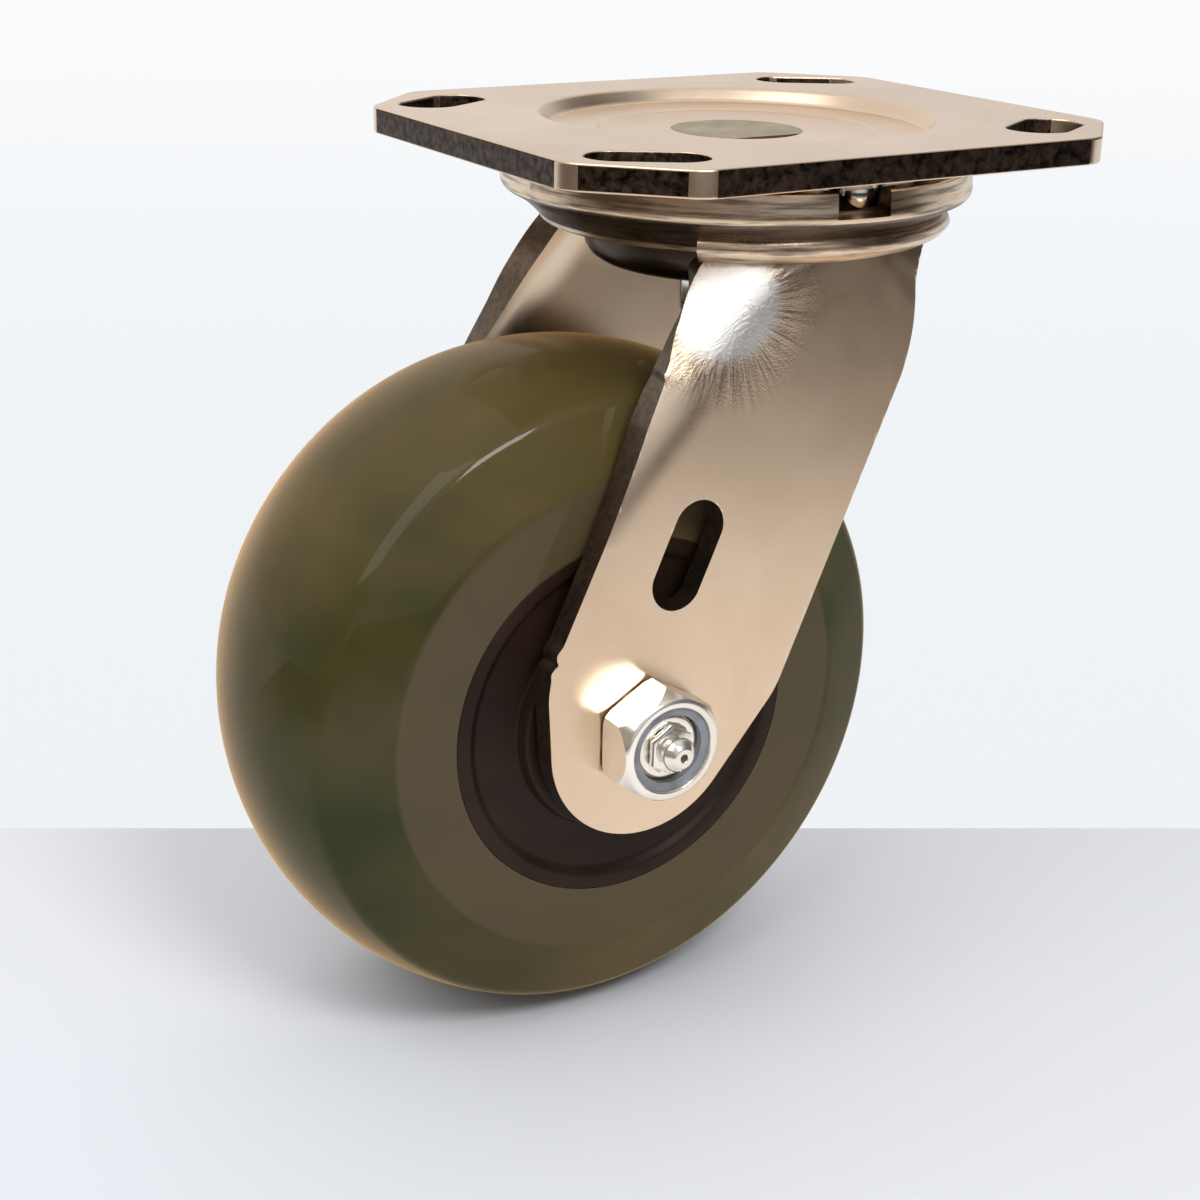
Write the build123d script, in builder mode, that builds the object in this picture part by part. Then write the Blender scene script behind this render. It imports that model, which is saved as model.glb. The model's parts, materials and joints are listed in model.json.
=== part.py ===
"""Top plate castor: a swivel fork on two rings of balls, carrying a 5 inch wheel on a roller bearing.

Millimetres, +Z up. The origin is the middle of the top plate's mounting face, on the swivel axis.
The plate's long side runs along X, the wheel's axle along Y, and the wheel trails towards -X.
"""
import os
from math import acos, cos, radians, sin, sqrt

from build123d import *

# Top plate, with four slots that take a wide or a square pattern of 3/8 inch bolts
plate_length = 114.3
plate_width = 101.6
plate_thickness = 4.76
plate_corner_cut = 15.9
plate_corner_round = 6.0
plate_edge_break = 0.5
bolt_span_wide_x = 92.08
bolt_span_wide_y = 66.68
bolt_span_square = 76.2
slot_width = 11.1
dish_radius = 34.2
dish_slope_run = 2.4
dish_depth = 2.6
pad_radius = 25.5
pad_step = 0.35

# Upper ring of balls, between the plate and the fork
upper_ball_diameter = 7.94
upper_ball_count = 24
upper_pitch_radius = 35.5
upper_race_bite = 0.2
race_clearance = 0.05

# Fork crown, a round bowl with the legs' shoulder below it
rim_radius = 43.0
rim_gap = 2.6
rim_edge_break = 0.6
bead_drop = 5.0
bead_radius = 43.4
neck_drop = 7.4
neck_radius = 39.5
hem_drop = 11.4
hem_radius = 35.8
band_top_drop = 7.8
band_neck_drop = 8.5
band_neck_radius = 39.4
band_drop = 10.2
band_radius = 39.9
band_foot_drop = 12.9
band_foot_radius = 36.6
crown_shelf_drop = 2.2
crown_web = 6.8
crown_bore_radius = 10.0
ball_window_width = 10.4
ball_window_height = 4.4
ball_window_angle = -94.5
shoulder_drop = 7.9

# Fork legs, upright walls that lean in to a cone at the top; low corners and slot are placed from the axle
leg_thickness = 4.76
fork_gap = 60.3
leg_cone_radius = 19.5
leg_cone_slope = 0.87
leg_blend_radius = 15.0
leg_back_join = (-38.95, -46.0)
leg_back_reach = 45.0
trim_outer_y = 40.0
trim_outer_points = ((-33.5, -14.5), (-38.0, -22.0), (-35.4, -32.0), (-36.9, -41.0))
trim_middle_points = ((-1.5, -14.5), (0.0, -22.0), (-14.6, -32.0), (-33.8, -41.0))
leg_front_x = 15.8
leg_front_bend_z = -38.0
leg_back_low = (-20.4, 13.6)
leg_front_low = (27.8, 2.6)
leg_flare_x = 28.0
leg_flare_z = -19.2
leg_bend_radius = 30.0
leg_flare_radius = 8.0
leg_toe_radius = 19.6
leg_low_radius = 16.0
leg_edge_break = 0.4
leg_slot_place = (7.4, 32.2)
leg_slot_width = 10.2
leg_slot_length = 20.6
leg_slot_angle = 24.0

# Wheel, set back by the trail and hung so that its tread clears the kingpin's end above it
wheel_diameter = 127.0
trail = 38.4
tread_gap = 12.67
tread_half_width = 22.9
tread_crown_radius = 52.2
tyre_half_width = 27.4
tyre_face_radius = 45.7
tyre_shoulder_radius = 2.0
core_radius = 34.1
core_ridge_radius = 41.0
core_ridge_half_width = 13.0
core_ridge_slope = 3.0
core_edge_break = 0.5
core_rim_radius = 31.4
core_dish_depth = 1.3
core_boss_radius = 21.0
hub_half_length = 28.6
bond_gap = 0.02

# Roller bearing in the hub
sleeve_diameter = 19.05
sleeve_end_gap = 0.05
sleeve_bore_gap = 0.1
roller_diameter = 4.76
roller_length = 42.0
roller_count = 12
roller_clearance = 0.04
race_wall = 1.5
race_seal_gap = 1.4
race_fit_gap = 0.02
cage_ring_thickness = 1.6
cage_ring_height = 3.0
cage_end_gap = 0.3
cage_bar_width = 0.8
cage_bar_height = 1.8
seal_thickness = 1.6
seal_inset = 0.6
seal_bore_gap = 0.3
washer_diameter = 34.0
washer_thickness = 1.2
washer_bore_gap = 0.1

# Axle bolt and its lock nut
axle_diameter = 12.7
axle_hole_gap = 0.1
axle_head_flats = 19.05
axle_head_height = 8.0
axle_end_inset = 1.8
grease_bore = 3.2
grease_cross_bore = 2.4
nut_flats = 19.05
nut_height = 8.6
nut_rim_diameter = 18.6
nut_rim_round = 0.5
nut_recess_diameter = 15.8
nut_recess_depth = 2.0
nut_thread_gap = 0.02
nut_crown_taper = 30.0
lock_ring_height = 1.2

# Kingpin stack and lower ring of balls
kingpin_head_diameter = 24.0
kingpin_head_flat = 9.4
kingpin_head_height = 2.2
kingpin_shank_diameter = 16.0
kingpin_thread_diameter = 12.7
kingpin_fit_gap = 0.03
kingpin_end_length = 2.4
thread_end_chamfer = 0.8
lower_ball_diameter = 6.35
lower_ball_count = 20
lower_pitch_radius = 21.5
lower_race_bite = 1.2
cup_radius = 27.8
cup_wall = 2.6
cup_top_gap = 1.0
cup_side_gap = 2.2
cup_height = 9.1
cup_bottom_radius = 4.6
cup_edge_break = 0.4
kingpin_washer_diameter = 24.0
kingpin_washer_thickness = 2.0
kingpin_nut_flats = 19.05
kingpin_nut_height = 7.5

# Grease fittings
fitting_hex_flats = 7.9
fitting_hex_height = 3.2
fitting_thread_diameter = 5.9
fitting_thread_length = 3.4
fitting_neck_diameter = 4.2
fitting_neck_length = 1.6
fitting_head_diameter = 6.4
fitting_head_length = 3.4
fitting_tip_diameter = 3.6
fitting_mouth_diameter = 1.5
fitting_mouth_depth = 1.6
fitting_fit_gap = 0.03
swivel_fitting_angle = -8.0
swivel_fitting_tilt = 24.0
swivel_fitting_drop = 7.1
swivel_fitting_reach = 41.2
swivel_fitting_boss = 10.0
swivel_boss_depth = 4.0
swivel_grease_reach = 9.0
axle_fitting_hex_height = 1.6
axle_fitting_neck_length = 0.8
axle_fitting_head_length = 2.9

# Heights and radii that follow from the sizes above
plate_under_z = -plate_thickness
boss_under_z = plate_under_z - dish_depth
upper_groove_radius = upper_ball_diameter / 2 + race_clearance
upper_ball_z = plate_under_z + upper_race_bite - upper_groove_radius
rim_z = plate_under_z - rim_gap
shelf_z = rim_z - crown_shelf_drop
web_under_z = shelf_z - crown_web
hem_z = rim_z - hem_drop
shoulder_z = rim_z - shoulder_drop
shoulder_under_z = shoulder_z - leg_thickness
race_wall_radius = upper_pitch_radius + upper_groove_radius
skirt_inner_radius = cup_radius + cup_side_gap
lower_groove_radius = lower_ball_diameter / 2 + race_clearance
lower_ball_z = web_under_z + lower_race_bite - lower_groove_radius
cup_floor_z = lower_ball_z - lower_groove_radius + lower_race_bite
cup_top_z = web_under_z - cup_top_gap
cup_under_z = cup_top_z - cup_height
kingpin_nut_z = cup_under_z - kingpin_washer_thickness
kingpin_end_z = kingpin_nut_z - kingpin_nut_height - kingpin_end_length
leg_inner_y = fork_gap / 2
leg_outer_y = leg_inner_y + leg_thickness
wheel_radius = wheel_diameter / 2
axle_x = -trail
axle_z = kingpin_end_z - tread_gap - sqrt(wheel_radius**2 - trail**2)
roller_pitch_radius = (sleeve_diameter + roller_diameter) / 2 + roller_clearance
bearing_bore_radius = roller_pitch_radius + roller_diameter / 2 + roller_clearance
hub_bore_radius = bearing_bore_radius + race_wall + race_fit_gap
nut_face_y = leg_outer_y + nut_height
nut_recess_y = nut_face_y - nut_recess_depth
axle_end = nut_face_y - axle_end_inset
cage_half_length = roller_length / 2 + cage_end_gap + cage_ring_thickness
seal_outer_y = hub_half_length - seal_inset
race_half_length = seal_outer_y - seal_thickness - race_seal_gap

# The wheel's parts are drawn in a section plane: first coordinate out from the axle, second towards -Y
axle_axis = Axis((axle_x, 0, axle_z), (0, 1, 0))
axle_section = Plane(origin=(axle_x, 0, axle_z), x_dir=(0, 0, 1), z_dir=(1, 0, 0))

# The crown's grease fitting leans down and out from a seat on the crown's wall
fitting_spoke = Vector(cos(radians(swivel_fitting_angle)), sin(radians(swivel_fitting_angle)), 0)
fitting_seat = Plane(
    origin=fitting_spoke * swivel_fitting_reach + Vector(0, 0, rim_z - swivel_fitting_drop),
    x_dir=fitting_spoke.cross(Vector(0, 0, 1)),
    z_dir=fitting_spoke * cos(radians(swivel_fitting_tilt)) - Vector(0, 0, sin(radians(swivel_fitting_tilt))),
)


def across(distance):
    """Plane square to the axle, at a distance from the wheel's middle towards -Y."""
    return Plane(origin=(axle_x, -distance, axle_z), x_dir=(1, 0, 0), z_dir=(0, -1, 0))


def finish(builder, label):
    """Names a finished piece and writes it."""
    builder.part.label = label
    export_step(builder.part, f"parts/{label}.step")


os.makedirs("parts", exist_ok=True)

# Top plate: the pressed dish stands out below as a boss, and the ball race is rolled into the boss
kingpin_head_z = -dish_depth - pad_step
slot_centre_x = (bolt_span_wide_x + bolt_span_square) / 4
slot_centre_y = (bolt_span_wide_y + bolt_span_square) / 4
slot_run = Vector((bolt_span_wide_x - bolt_span_square) / 2, (bolt_span_wide_y - bolt_span_square) / 2)
slot_turn = slot_run.get_signed_angle(Vector(1, 0, 0), Vector(0, 0, -1))
with BuildPart() as top_plate:
    with BuildSketch(Plane.XY.offset(plate_under_z)) as plate_outline:
        Rectangle(plate_length, plate_width)
        chamfer(plate_outline.vertices(), plate_corner_cut)
        fillet(plate_outline.vertices(), plate_corner_round)
    extrude(amount=plate_thickness)
    chamfer(top_plate.faces().sort_by(Axis.Z)[-1].edges(), plate_edge_break)
    with BuildSketch(Plane.XY.offset(boss_under_z)):
        Circle(upper_pitch_radius)
    extrude(amount=dish_depth)
    with BuildSketch(Plane.XZ):
        with BuildLine():
            Polyline(
                (0, 0),
                (dish_radius + dish_slope_run, 0),
                (dish_radius, -dish_depth),
                (pad_radius, -dish_depth),
                (pad_radius - pad_step, kingpin_head_z),
                (0, kingpin_head_z),
                close=True,
            )
        make_face()
    revolve(axis=Axis.Z, mode=Mode.SUBTRACT)
    with Locations((0, 0, upper_ball_z)):
        Torus(upper_pitch_radius, upper_groove_radius, mode=Mode.SUBTRACT)
    for side_x in (-1, 1):
        for side_y in (-1, 1):
            with BuildSketch():
                with Locations((side_x * slot_centre_x, side_y * slot_centre_y)):
                    SlotCenterToCenter(slot_run.length, slot_width, rotation=side_x * side_y * slot_turn)
            extrude(amount=-plate_thickness, mode=Mode.SUBTRACT)
    with BuildSketch(Plane.XY.offset(kingpin_head_z)):
        Circle(kingpin_head_diameter / 2 + kingpin_fit_gap)
        with Locations((0, -kingpin_head_flat - kingpin_fit_gap - kingpin_head_diameter / 2)):
            Rectangle(kingpin_head_diameter, kingpin_head_diameter, mode=Mode.SUBTRACT)
    extrude(amount=-kingpin_head_height, mode=Mode.SUBTRACT)
    with Locations((0, 0, boss_under_z)):
        Cylinder(
            kingpin_shank_diameter / 2 + kingpin_fit_gap,
            plate_thickness + dish_depth,
            align=(Align.CENTER, Align.CENTER, Align.MIN),
            mode=Mode.SUBTRACT,
        )
finish(top_plate, "top_plate")

# Upper balls
with BuildPart(Plane.XY.offset(upper_ball_z)) as upper_balls:
    with PolarLocations(upper_pitch_radius, upper_ball_count):
        Sphere(upper_ball_diameter / 2)
finish(upper_balls, "upper_balls")

# Kingpin: a D-shaped head let into the plate, a shank to the cup floor, then a thread
with BuildPart() as kingpin:
    with BuildSketch(Plane.XY.offset(kingpin_head_z - kingpin_head_height)):
        Circle(kingpin_head_diameter / 2)
        with Locations((0, -kingpin_head_flat - kingpin_head_diameter / 2)):
            Rectangle(kingpin_head_diameter, kingpin_head_diameter, mode=Mode.SUBTRACT)
    extrude(amount=kingpin_head_height)
    with BuildSketch(Plane.XY.offset(cup_floor_z)):
        Circle(kingpin_shank_diameter / 2)
    extrude(amount=kingpin_head_z - kingpin_head_height - cup_floor_z)
    with BuildSketch(Plane.XY.offset(kingpin_end_z)):
        Circle(kingpin_thread_diameter / 2)
    extrude(amount=cup_floor_z - kingpin_end_z)
    chamfer(kingpin.faces().sort_by(Axis.Z)[0].edges(), thread_end_chamfer)
finish(kingpin, "kingpin")

# Lower race: a thick cup that the kingpin nut pulls up against the shank's shoulder
with BuildPart() as lower_race:
    with BuildSketch(Plane.XY.offset(cup_under_z)):
        Circle(cup_radius)
    extrude(amount=cup_height)
    fillet(lower_race.faces().sort_by(Axis.Z)[0].edges(), cup_bottom_radius)
    chamfer(lower_race.faces().sort_by(Axis.Z)[-1].edges(), cup_edge_break)
    with BuildSketch(Plane.XY.offset(cup_floor_z)):
        Circle(cup_radius - cup_wall)
    extrude(amount=cup_top_z - cup_floor_z, mode=Mode.SUBTRACT)
    with Locations((0, 0, lower_ball_z)):
        Torus(lower_pitch_radius, lower_groove_radius, mode=Mode.SUBTRACT)
    Hole(kingpin_thread_diameter / 2 + kingpin_fit_gap)
finish(lower_race, "lower_race")

# Kingpin washer and nut
with BuildPart() as kingpin_washer:
    with BuildSketch(Plane.XY.offset(cup_under_z)):
        Circle(kingpin_washer_diameter / 2)
        Circle(kingpin_thread_diameter / 2 + kingpin_fit_gap, mode=Mode.SUBTRACT)
    extrude(amount=-kingpin_washer_thickness)
finish(kingpin_washer, "kingpin_washer")

with BuildPart() as kingpin_nut:
    with BuildSketch(Plane.XY.offset(kingpin_nut_z)):
        RegularPolygon(kingpin_nut_flats / 2, 6, major_radius=False)
    extrude(amount=-kingpin_nut_height)
    with BuildSketch(Plane.XY.offset(kingpin_nut_z - kingpin_nut_height)):
        Circle(kingpin_nut_flats / 2)
    extrude(amount=kingpin_nut_height, taper=-nut_crown_taper, mode=Mode.INTERSECT)
    with Locations((0, 0, kingpin_nut_z)):
        Hole(kingpin_thread_diameter / 2 + nut_thread_gap)
finish(kingpin_nut, "kingpin_nut")

# Lower balls
with BuildPart(Plane.XY.offset(lower_ball_z)) as lower_balls:
    with PolarLocations(lower_pitch_radius, lower_ball_count):
        Sphere(lower_ball_diameter / 2)
finish(lower_balls, "lower_balls")

# Fork: the legs are one sheet pressed over a form, and the crown bowl stands on them
def leg_form(half_width, cone_radius, blend_radius, top_z):
    """Two upright walls that lean in to a cone at the top, as the tool that presses the legs."""
    base_z = axle_z - wheel_radius
    base_radius = cone_radius - leg_cone_slope * base_z
    with BuildPart() as form:
        with BuildSketch(Plane.XY.offset(base_z)):
            Rectangle(2 * base_radius, 2 * half_width)
        extrude(amount=-base_z)
        with BuildSketch(Plane.XZ):
            with BuildLine():
                Polyline((0, 0), (cone_radius, 0), (base_radius, base_z), (0, base_z), close=True)
            make_face()
        revolve(axis=Axis.Z, mode=Mode.INTERSECT)
        fillet(form.edges().filter_by(Plane.XZ).filter_by(GeomType.LINE, reverse=True), blend_radius)
        split(bisect_by=Plane.XY.offset(top_z), keep=Keep.BOTTOM)
    return form.part


shelf_half_chord = sqrt(upper_groove_radius**2 - (upper_ball_z - shelf_z) ** 2)
lower_half_chord = sqrt(lower_groove_radius**2 - (lower_groove_radius - lower_race_bite) ** 2)
back_low = (axle_x + leg_back_low[0], axle_z + leg_back_low[1])
front_low = (axle_x + leg_front_low[0], axle_z + leg_front_low[1])
front_reach = Vector(*leg_front_low)
front_turn = Vector(1, 0, 0).get_signed_angle(front_reach, Vector(0, 0, 1))
toe_turn = radians(front_turn) - acos(leg_toe_radius / front_reach.length)
toe_tangent = (axle_x + leg_toe_radius * cos(toe_turn), axle_z + leg_toe_radius * sin(toe_turn))
with BuildSketch(Plane.XZ) as leg_outline:
    with BuildLine():
        Polyline(
            (-leg_back_reach, shoulder_z),
            (-leg_back_reach, leg_back_join[1]),
            leg_back_join,
            back_low,
            (axle_x - leg_toe_radius, axle_z),
            (axle_x, axle_z),
            toe_tangent,
            front_low,
            (leg_front_x, leg_front_bend_z),
            (leg_front_x, leg_flare_z),
            (leg_flare_x, leg_flare_z),
            (leg_flare_x, shoulder_z),
            close=True,
        )
    make_face()
    with Locations((axle_x, axle_z)):
        Circle(leg_toe_radius)
    for corner, radius in (
        ((leg_front_x, leg_front_bend_z), leg_bend_radius),
        ((leg_front_x, leg_flare_z), leg_flare_radius),
        (back_low, leg_low_radius),
        (front_low, leg_low_radius),
    ):
        fillet(leg_outline.vertices().sort_by_distance(corner)[0], radius)

# The legs' back edge stands square to the sheet, so it turns where the sheet leans in
back_run = (Vector(*back_low) - Vector(*leg_back_join)).normalized()
with BuildPart() as leg_trim:
    for depth, points in ((trim_outer_y, trim_outer_points), (0, trim_middle_points)):
        with BuildSketch(Plane.XZ.offset(depth)):
            with BuildLine():
                Spline(*points, leg_back_join, tangents=((0, -1), (back_run.X, back_run.Y)))
                Polyline(
                    leg_back_join,
                    (-2 * leg_back_reach, leg_back_join[1]),
                    (-2 * leg_back_reach, points[0][1]),
                    points[0],
                )
            make_face()
    loft(ruled=True)
    mirror(about=Plane.XZ)

# The band is the sheet's shoulder, where the legs leave the crown
with BuildPart() as leg_band:
    with BuildSketch(Plane.XZ):
        with BuildLine():
            Spline(
                (band_neck_radius, rim_z - band_neck_drop),
                (band_radius, rim_z - band_drop),
                (band_foot_radius, rim_z - band_foot_drop),
            )
            Polyline(
                (band_foot_radius, rim_z - band_foot_drop),
                (skirt_inner_radius, rim_z - band_foot_drop),
                (skirt_inner_radius, rim_z - band_top_drop),
                (band_neck_radius - band_neck_drop + band_top_drop, rim_z - band_top_drop),
                (band_neck_radius, rim_z - band_neck_drop),
            )
        make_face()
    revolve(axis=Axis.Z)
    extrude(leg_outline.sketch, amount=plate_width, both=True, mode=Mode.INTERSECT)
    add(leg_trim.part, mode=Mode.SUBTRACT)

with BuildPart() as fork:
    add(leg_form(leg_outer_y, leg_cone_radius, leg_blend_radius, shoulder_z))
    add(
        leg_form(
            leg_inner_y,
            leg_cone_radius - leg_thickness * sqrt(1 + leg_cone_slope**2),
            leg_blend_radius - leg_thickness,
            shoulder_under_z,
        ),
        mode=Mode.SUBTRACT,
    )
    extrude(leg_outline.sketch, amount=plate_width, both=True, mode=Mode.INTERSECT)
    outer_faces = fork.faces().filter_by(Plane.XZ).sort_by(Axis.Y)
    leg_edges = outer_faces[0].edges() + outer_faces[-1].edges()
    chamfer(leg_edges.filter_by_position(Axis.Z, axle_z - wheel_radius, leg_front_bend_z), leg_edge_break)
    add(leg_trim.part, mode=Mode.SUBTRACT)
    with BuildSketch(Plane.XZ) as crown_section:
        with BuildLine():
            Line((crown_bore_radius, shelf_z), (upper_pitch_radius - shelf_half_chord, shelf_z))
            ThreePointArc(
                (upper_pitch_radius - shelf_half_chord, shelf_z),
                (upper_pitch_radius, upper_ball_z - upper_groove_radius),
                (race_wall_radius, upper_ball_z),
            )
            Polyline(
                (race_wall_radius, upper_ball_z),
                (race_wall_radius, rim_z),
                (rim_radius - rim_edge_break, rim_z),
                (rim_radius, rim_z - rim_edge_break),
                (bead_radius, rim_z - bead_drop),
            )
            Spline(
                (bead_radius, rim_z - bead_drop),
                (neck_radius, rim_z - neck_drop),
                (hem_radius, hem_z),
            )
            Polyline(
                (hem_radius, hem_z),
                (skirt_inner_radius, hem_z),
                (skirt_inner_radius, web_under_z),
                (lower_pitch_radius + lower_half_chord, web_under_z),
            )
            ThreePointArc(
                (lower_pitch_radius + lower_half_chord, web_under_z),
                (lower_pitch_radius, web_under_z + lower_race_bite),
                (lower_pitch_radius - lower_half_chord, web_under_z),
            )
            Polyline(
                (lower_pitch_radius - lower_half_chord, web_under_z),
                (crown_bore_radius, web_under_z),
                (crown_bore_radius, shelf_z),
            )
        make_face()
    revolve(axis=Axis.Z)
    add(leg_band.part)
    with BuildSketch(Plane.XY.offset(web_under_z)):
        Circle(skirt_inner_radius)
    extrude(amount=shoulder_under_z - web_under_z, mode=Mode.SUBTRACT)
    with Locations((0, 0, lower_ball_z)):
        Torus(lower_pitch_radius, lower_groove_radius, mode=Mode.SUBTRACT)
    Hole(crown_bore_radius)
    with BuildSketch(Plane.XY.offset(rim_z)):
        with PolarLocations(race_wall_radius, 1, start_angle=ball_window_angle):
            Rectangle(2 * (rim_radius - upper_pitch_radius), ball_window_width)
    extrude(amount=-ball_window_height, mode=Mode.SUBTRACT)
    with BuildSketch(Plane.XZ):
        with Locations((axle_x + leg_slot_place[0], axle_z + leg_slot_place[1])):
            SlotOverall(leg_slot_length, leg_slot_width, rotation=90 - leg_slot_angle)
        with Locations((axle_x, axle_z)):
            Circle(axle_diameter / 2 + axle_hole_gap)
    extrude(amount=plate_width, both=True, mode=Mode.SUBTRACT)
    with BuildSketch(fitting_seat):
        Circle(swivel_fitting_boss / 2)
    extrude(amount=bead_drop, mode=Mode.SUBTRACT)
    with BuildSketch(fitting_seat.offset(-swivel_boss_depth)):
        Circle(swivel_fitting_boss / 2)
    extrude(amount=swivel_boss_depth)
    with BuildSketch(Plane.XY.offset(upper_ball_z)):
        Circle(race_wall_radius)
    extrude(amount=rim_z - upper_ball_z, mode=Mode.SUBTRACT)
    with Locations((0, 0, upper_ball_z)):
        Torus(upper_pitch_radius, upper_groove_radius, mode=Mode.SUBTRACT)
    with BuildSketch(fitting_seat):
        Circle(fitting_thread_diameter / 2 + fitting_fit_gap)
    extrude(amount=-fitting_thread_length - fitting_fit_gap, mode=Mode.SUBTRACT)
    with BuildSketch(fitting_seat):
        Circle(grease_cross_bore / 2)
    extrude(amount=-swivel_grease_reach, mode=Mode.SUBTRACT)
finish(fork, "fork")

# Grease fittings: one shape, in the crown and in the axle's end
def grease_fitting(seat, label, hex_height, neck_length, head_length):
    """A ball-headed fitting that stands on a seat plane, with its thread behind the plane."""
    neck_z = hex_height / 2
    head_z = hex_height + neck_length
    tip_z = head_z + head_length
    with BuildPart(seat) as fitting:
        with BuildSketch(seat):
            RegularPolygon(fitting_hex_flats / 2, 6, major_radius=False)
        extrude(amount=hex_height)
        with BuildSketch(seat):
            Circle(fitting_thread_diameter / 2)
        extrude(amount=-fitting_thread_length)
        with BuildSketch(Plane(seat.origin, x_dir=seat.x_dir, z_dir=-seat.y_dir)):
            with BuildLine():
                Polyline(
                    (0, neck_z),
                    (fitting_neck_diameter / 2, neck_z),
                    (fitting_neck_diameter / 2, head_z),
                    (fitting_head_diameter / 2, head_z + head_length / 4),
                    (fitting_head_diameter / 2, head_z + head_length / 2),
                    (fitting_tip_diameter / 2, tip_z),
                    (fitting_mouth_diameter / 2, tip_z),
                    (fitting_mouth_diameter / 2, tip_z - fitting_mouth_depth),
                    (0, tip_z - fitting_mouth_depth),
                    close=True,
                )
            make_face()
        revolve(axis=Axis(seat.origin, seat.z_dir))
    finish(fitting, label)


grease_fitting(
    fitting_seat,
    "swivel_grease_fitting",
    fitting_hex_height,
    fitting_neck_length,
    fitting_head_length,
)
grease_fitting(
    across(axle_end),
    "axle_grease_fitting",
    axle_fitting_hex_height,
    axle_fitting_neck_length,
    axle_fitting_head_length,
)

# Wheel core: hub, dished web and rim in one, with a ridge that keys the tyre
with BuildPart() as wheel_core:
    with BuildSketch(axle_section):
        with BuildLine():
            Polyline(
                (hub_bore_radius, 0),
                (hub_bore_radius, hub_half_length),
                (core_boss_radius, hub_half_length),
                (core_boss_radius + core_dish_depth / 2, tyre_half_width - core_dish_depth),
                (core_rim_radius - core_dish_depth, tyre_half_width - core_dish_depth),
                (core_rim_radius, tyre_half_width),
                (core_radius, tyre_half_width),
                (core_radius, core_ridge_half_width),
                (core_ridge_radius, core_ridge_half_width - core_ridge_slope),
                (core_ridge_radius, 0),
                close=True,
            )
        make_face()
        mirror(about=Plane.XZ)
    revolve(axis=axle_axis)
    ends = wheel_core.faces().filter_by(Plane.XZ).sort_by(Axis.Y)
    chamfer(ends[0].edges() + ends[-1].edges(), core_edge_break)
finish(wheel_core, "wheel_core")

# Tyre: flat side bands, coned shoulders and a crowned tread
tread_edge_radius = wheel_radius - tread_crown_radius + sqrt(tread_crown_radius**2 - tread_half_width**2)
with BuildPart() as tyre:
    with BuildSketch(axle_section) as tyre_section:
        with BuildLine():
            Polyline(
                (core_ridge_radius + bond_gap, 0),
                (core_ridge_radius + bond_gap, core_ridge_half_width - core_ridge_slope + bond_gap),
                (core_radius + bond_gap, core_ridge_half_width + bond_gap),
                (core_radius + bond_gap, tyre_half_width),
                (tyre_face_radius, tyre_half_width),
                (tread_edge_radius, tread_half_width),
            )
            RadiusArc((tread_edge_radius, tread_half_width), (wheel_radius, 0), tread_crown_radius)
            Line((wheel_radius, 0), (core_ridge_radius + bond_gap, 0))
        make_face()
        for corner in ((tyre_face_radius, tyre_half_width), (tread_edge_radius, tread_half_width)):
            place = axle_section.from_local_coords(corner)
            fillet(tyre_section.vertices().sort_by_distance(place)[0], tyre_shoulder_radius)
        mirror(about=Plane.XZ)
    revolve(axis=axle_axis)
finish(tyre, "tyre")

# Roller bearing: a liner in the hub, rollers in a cage, and the sleeve that they run on
with BuildPart() as bearing_race:
    with BuildSketch(across(race_half_length)):
        Circle(bearing_bore_radius + race_wall)
        Circle(bearing_bore_radius, mode=Mode.SUBTRACT)
    extrude(amount=-2 * race_half_length)
finish(bearing_race, "bearing_race")

with BuildPart() as bearing_rollers:
    with BuildSketch(across(roller_length / 2)):
        with PolarLocations(roller_pitch_radius, roller_count):
            Circle(roller_diameter / 2)
    extrude(amount=-roller_length)
finish(bearing_rollers, "bearing_rollers")

with BuildPart() as roller_cage:
    for ring_start in (cage_half_length, -cage_half_length + cage_ring_thickness):
        with BuildSketch(across(ring_start)):
            Circle(roller_pitch_radius + cage_ring_height / 2)
            Circle(roller_pitch_radius - cage_ring_height / 2, mode=Mode.SUBTRACT)
        extrude(amount=-cage_ring_thickness)
    with BuildSketch(across(cage_half_length)):
        with PolarLocations(roller_pitch_radius, roller_count, start_angle=180 / roller_count):
            Rectangle(cage_bar_height, cage_bar_width)
    extrude(amount=-2 * cage_half_length)
finish(roller_cage, "roller_cage")

with BuildPart() as bearing_seals:
    for seal_start in (seal_outer_y, -seal_outer_y + seal_thickness):
        with BuildSketch(across(seal_start)):
            Circle(hub_bore_radius - race_fit_gap)
            Circle(sleeve_diameter / 2 + seal_bore_gap, mode=Mode.SUBTRACT)
        extrude(amount=-seal_thickness)
finish(bearing_seals, "bearing_seals")

with BuildPart() as axle_sleeve:
    with BuildSketch(across(leg_inner_y - sleeve_end_gap)):
        Circle(sleeve_diameter / 2)
        Circle(axle_diameter / 2 + sleeve_bore_gap, mode=Mode.SUBTRACT)
    extrude(amount=2 * (sleeve_end_gap - leg_inner_y))
finish(axle_sleeve, "axle_sleeve")

with BuildPart() as thrust_washers:
    for washer_start in (leg_inner_y, -leg_inner_y + washer_thickness):
        with BuildSketch(across(washer_start)):
            Circle(washer_diameter / 2)
            Circle(sleeve_diameter / 2 + washer_bore_gap, mode=Mode.SUBTRACT)
        extrude(amount=-washer_thickness)
finish(thrust_washers, "thrust_washers")

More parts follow.
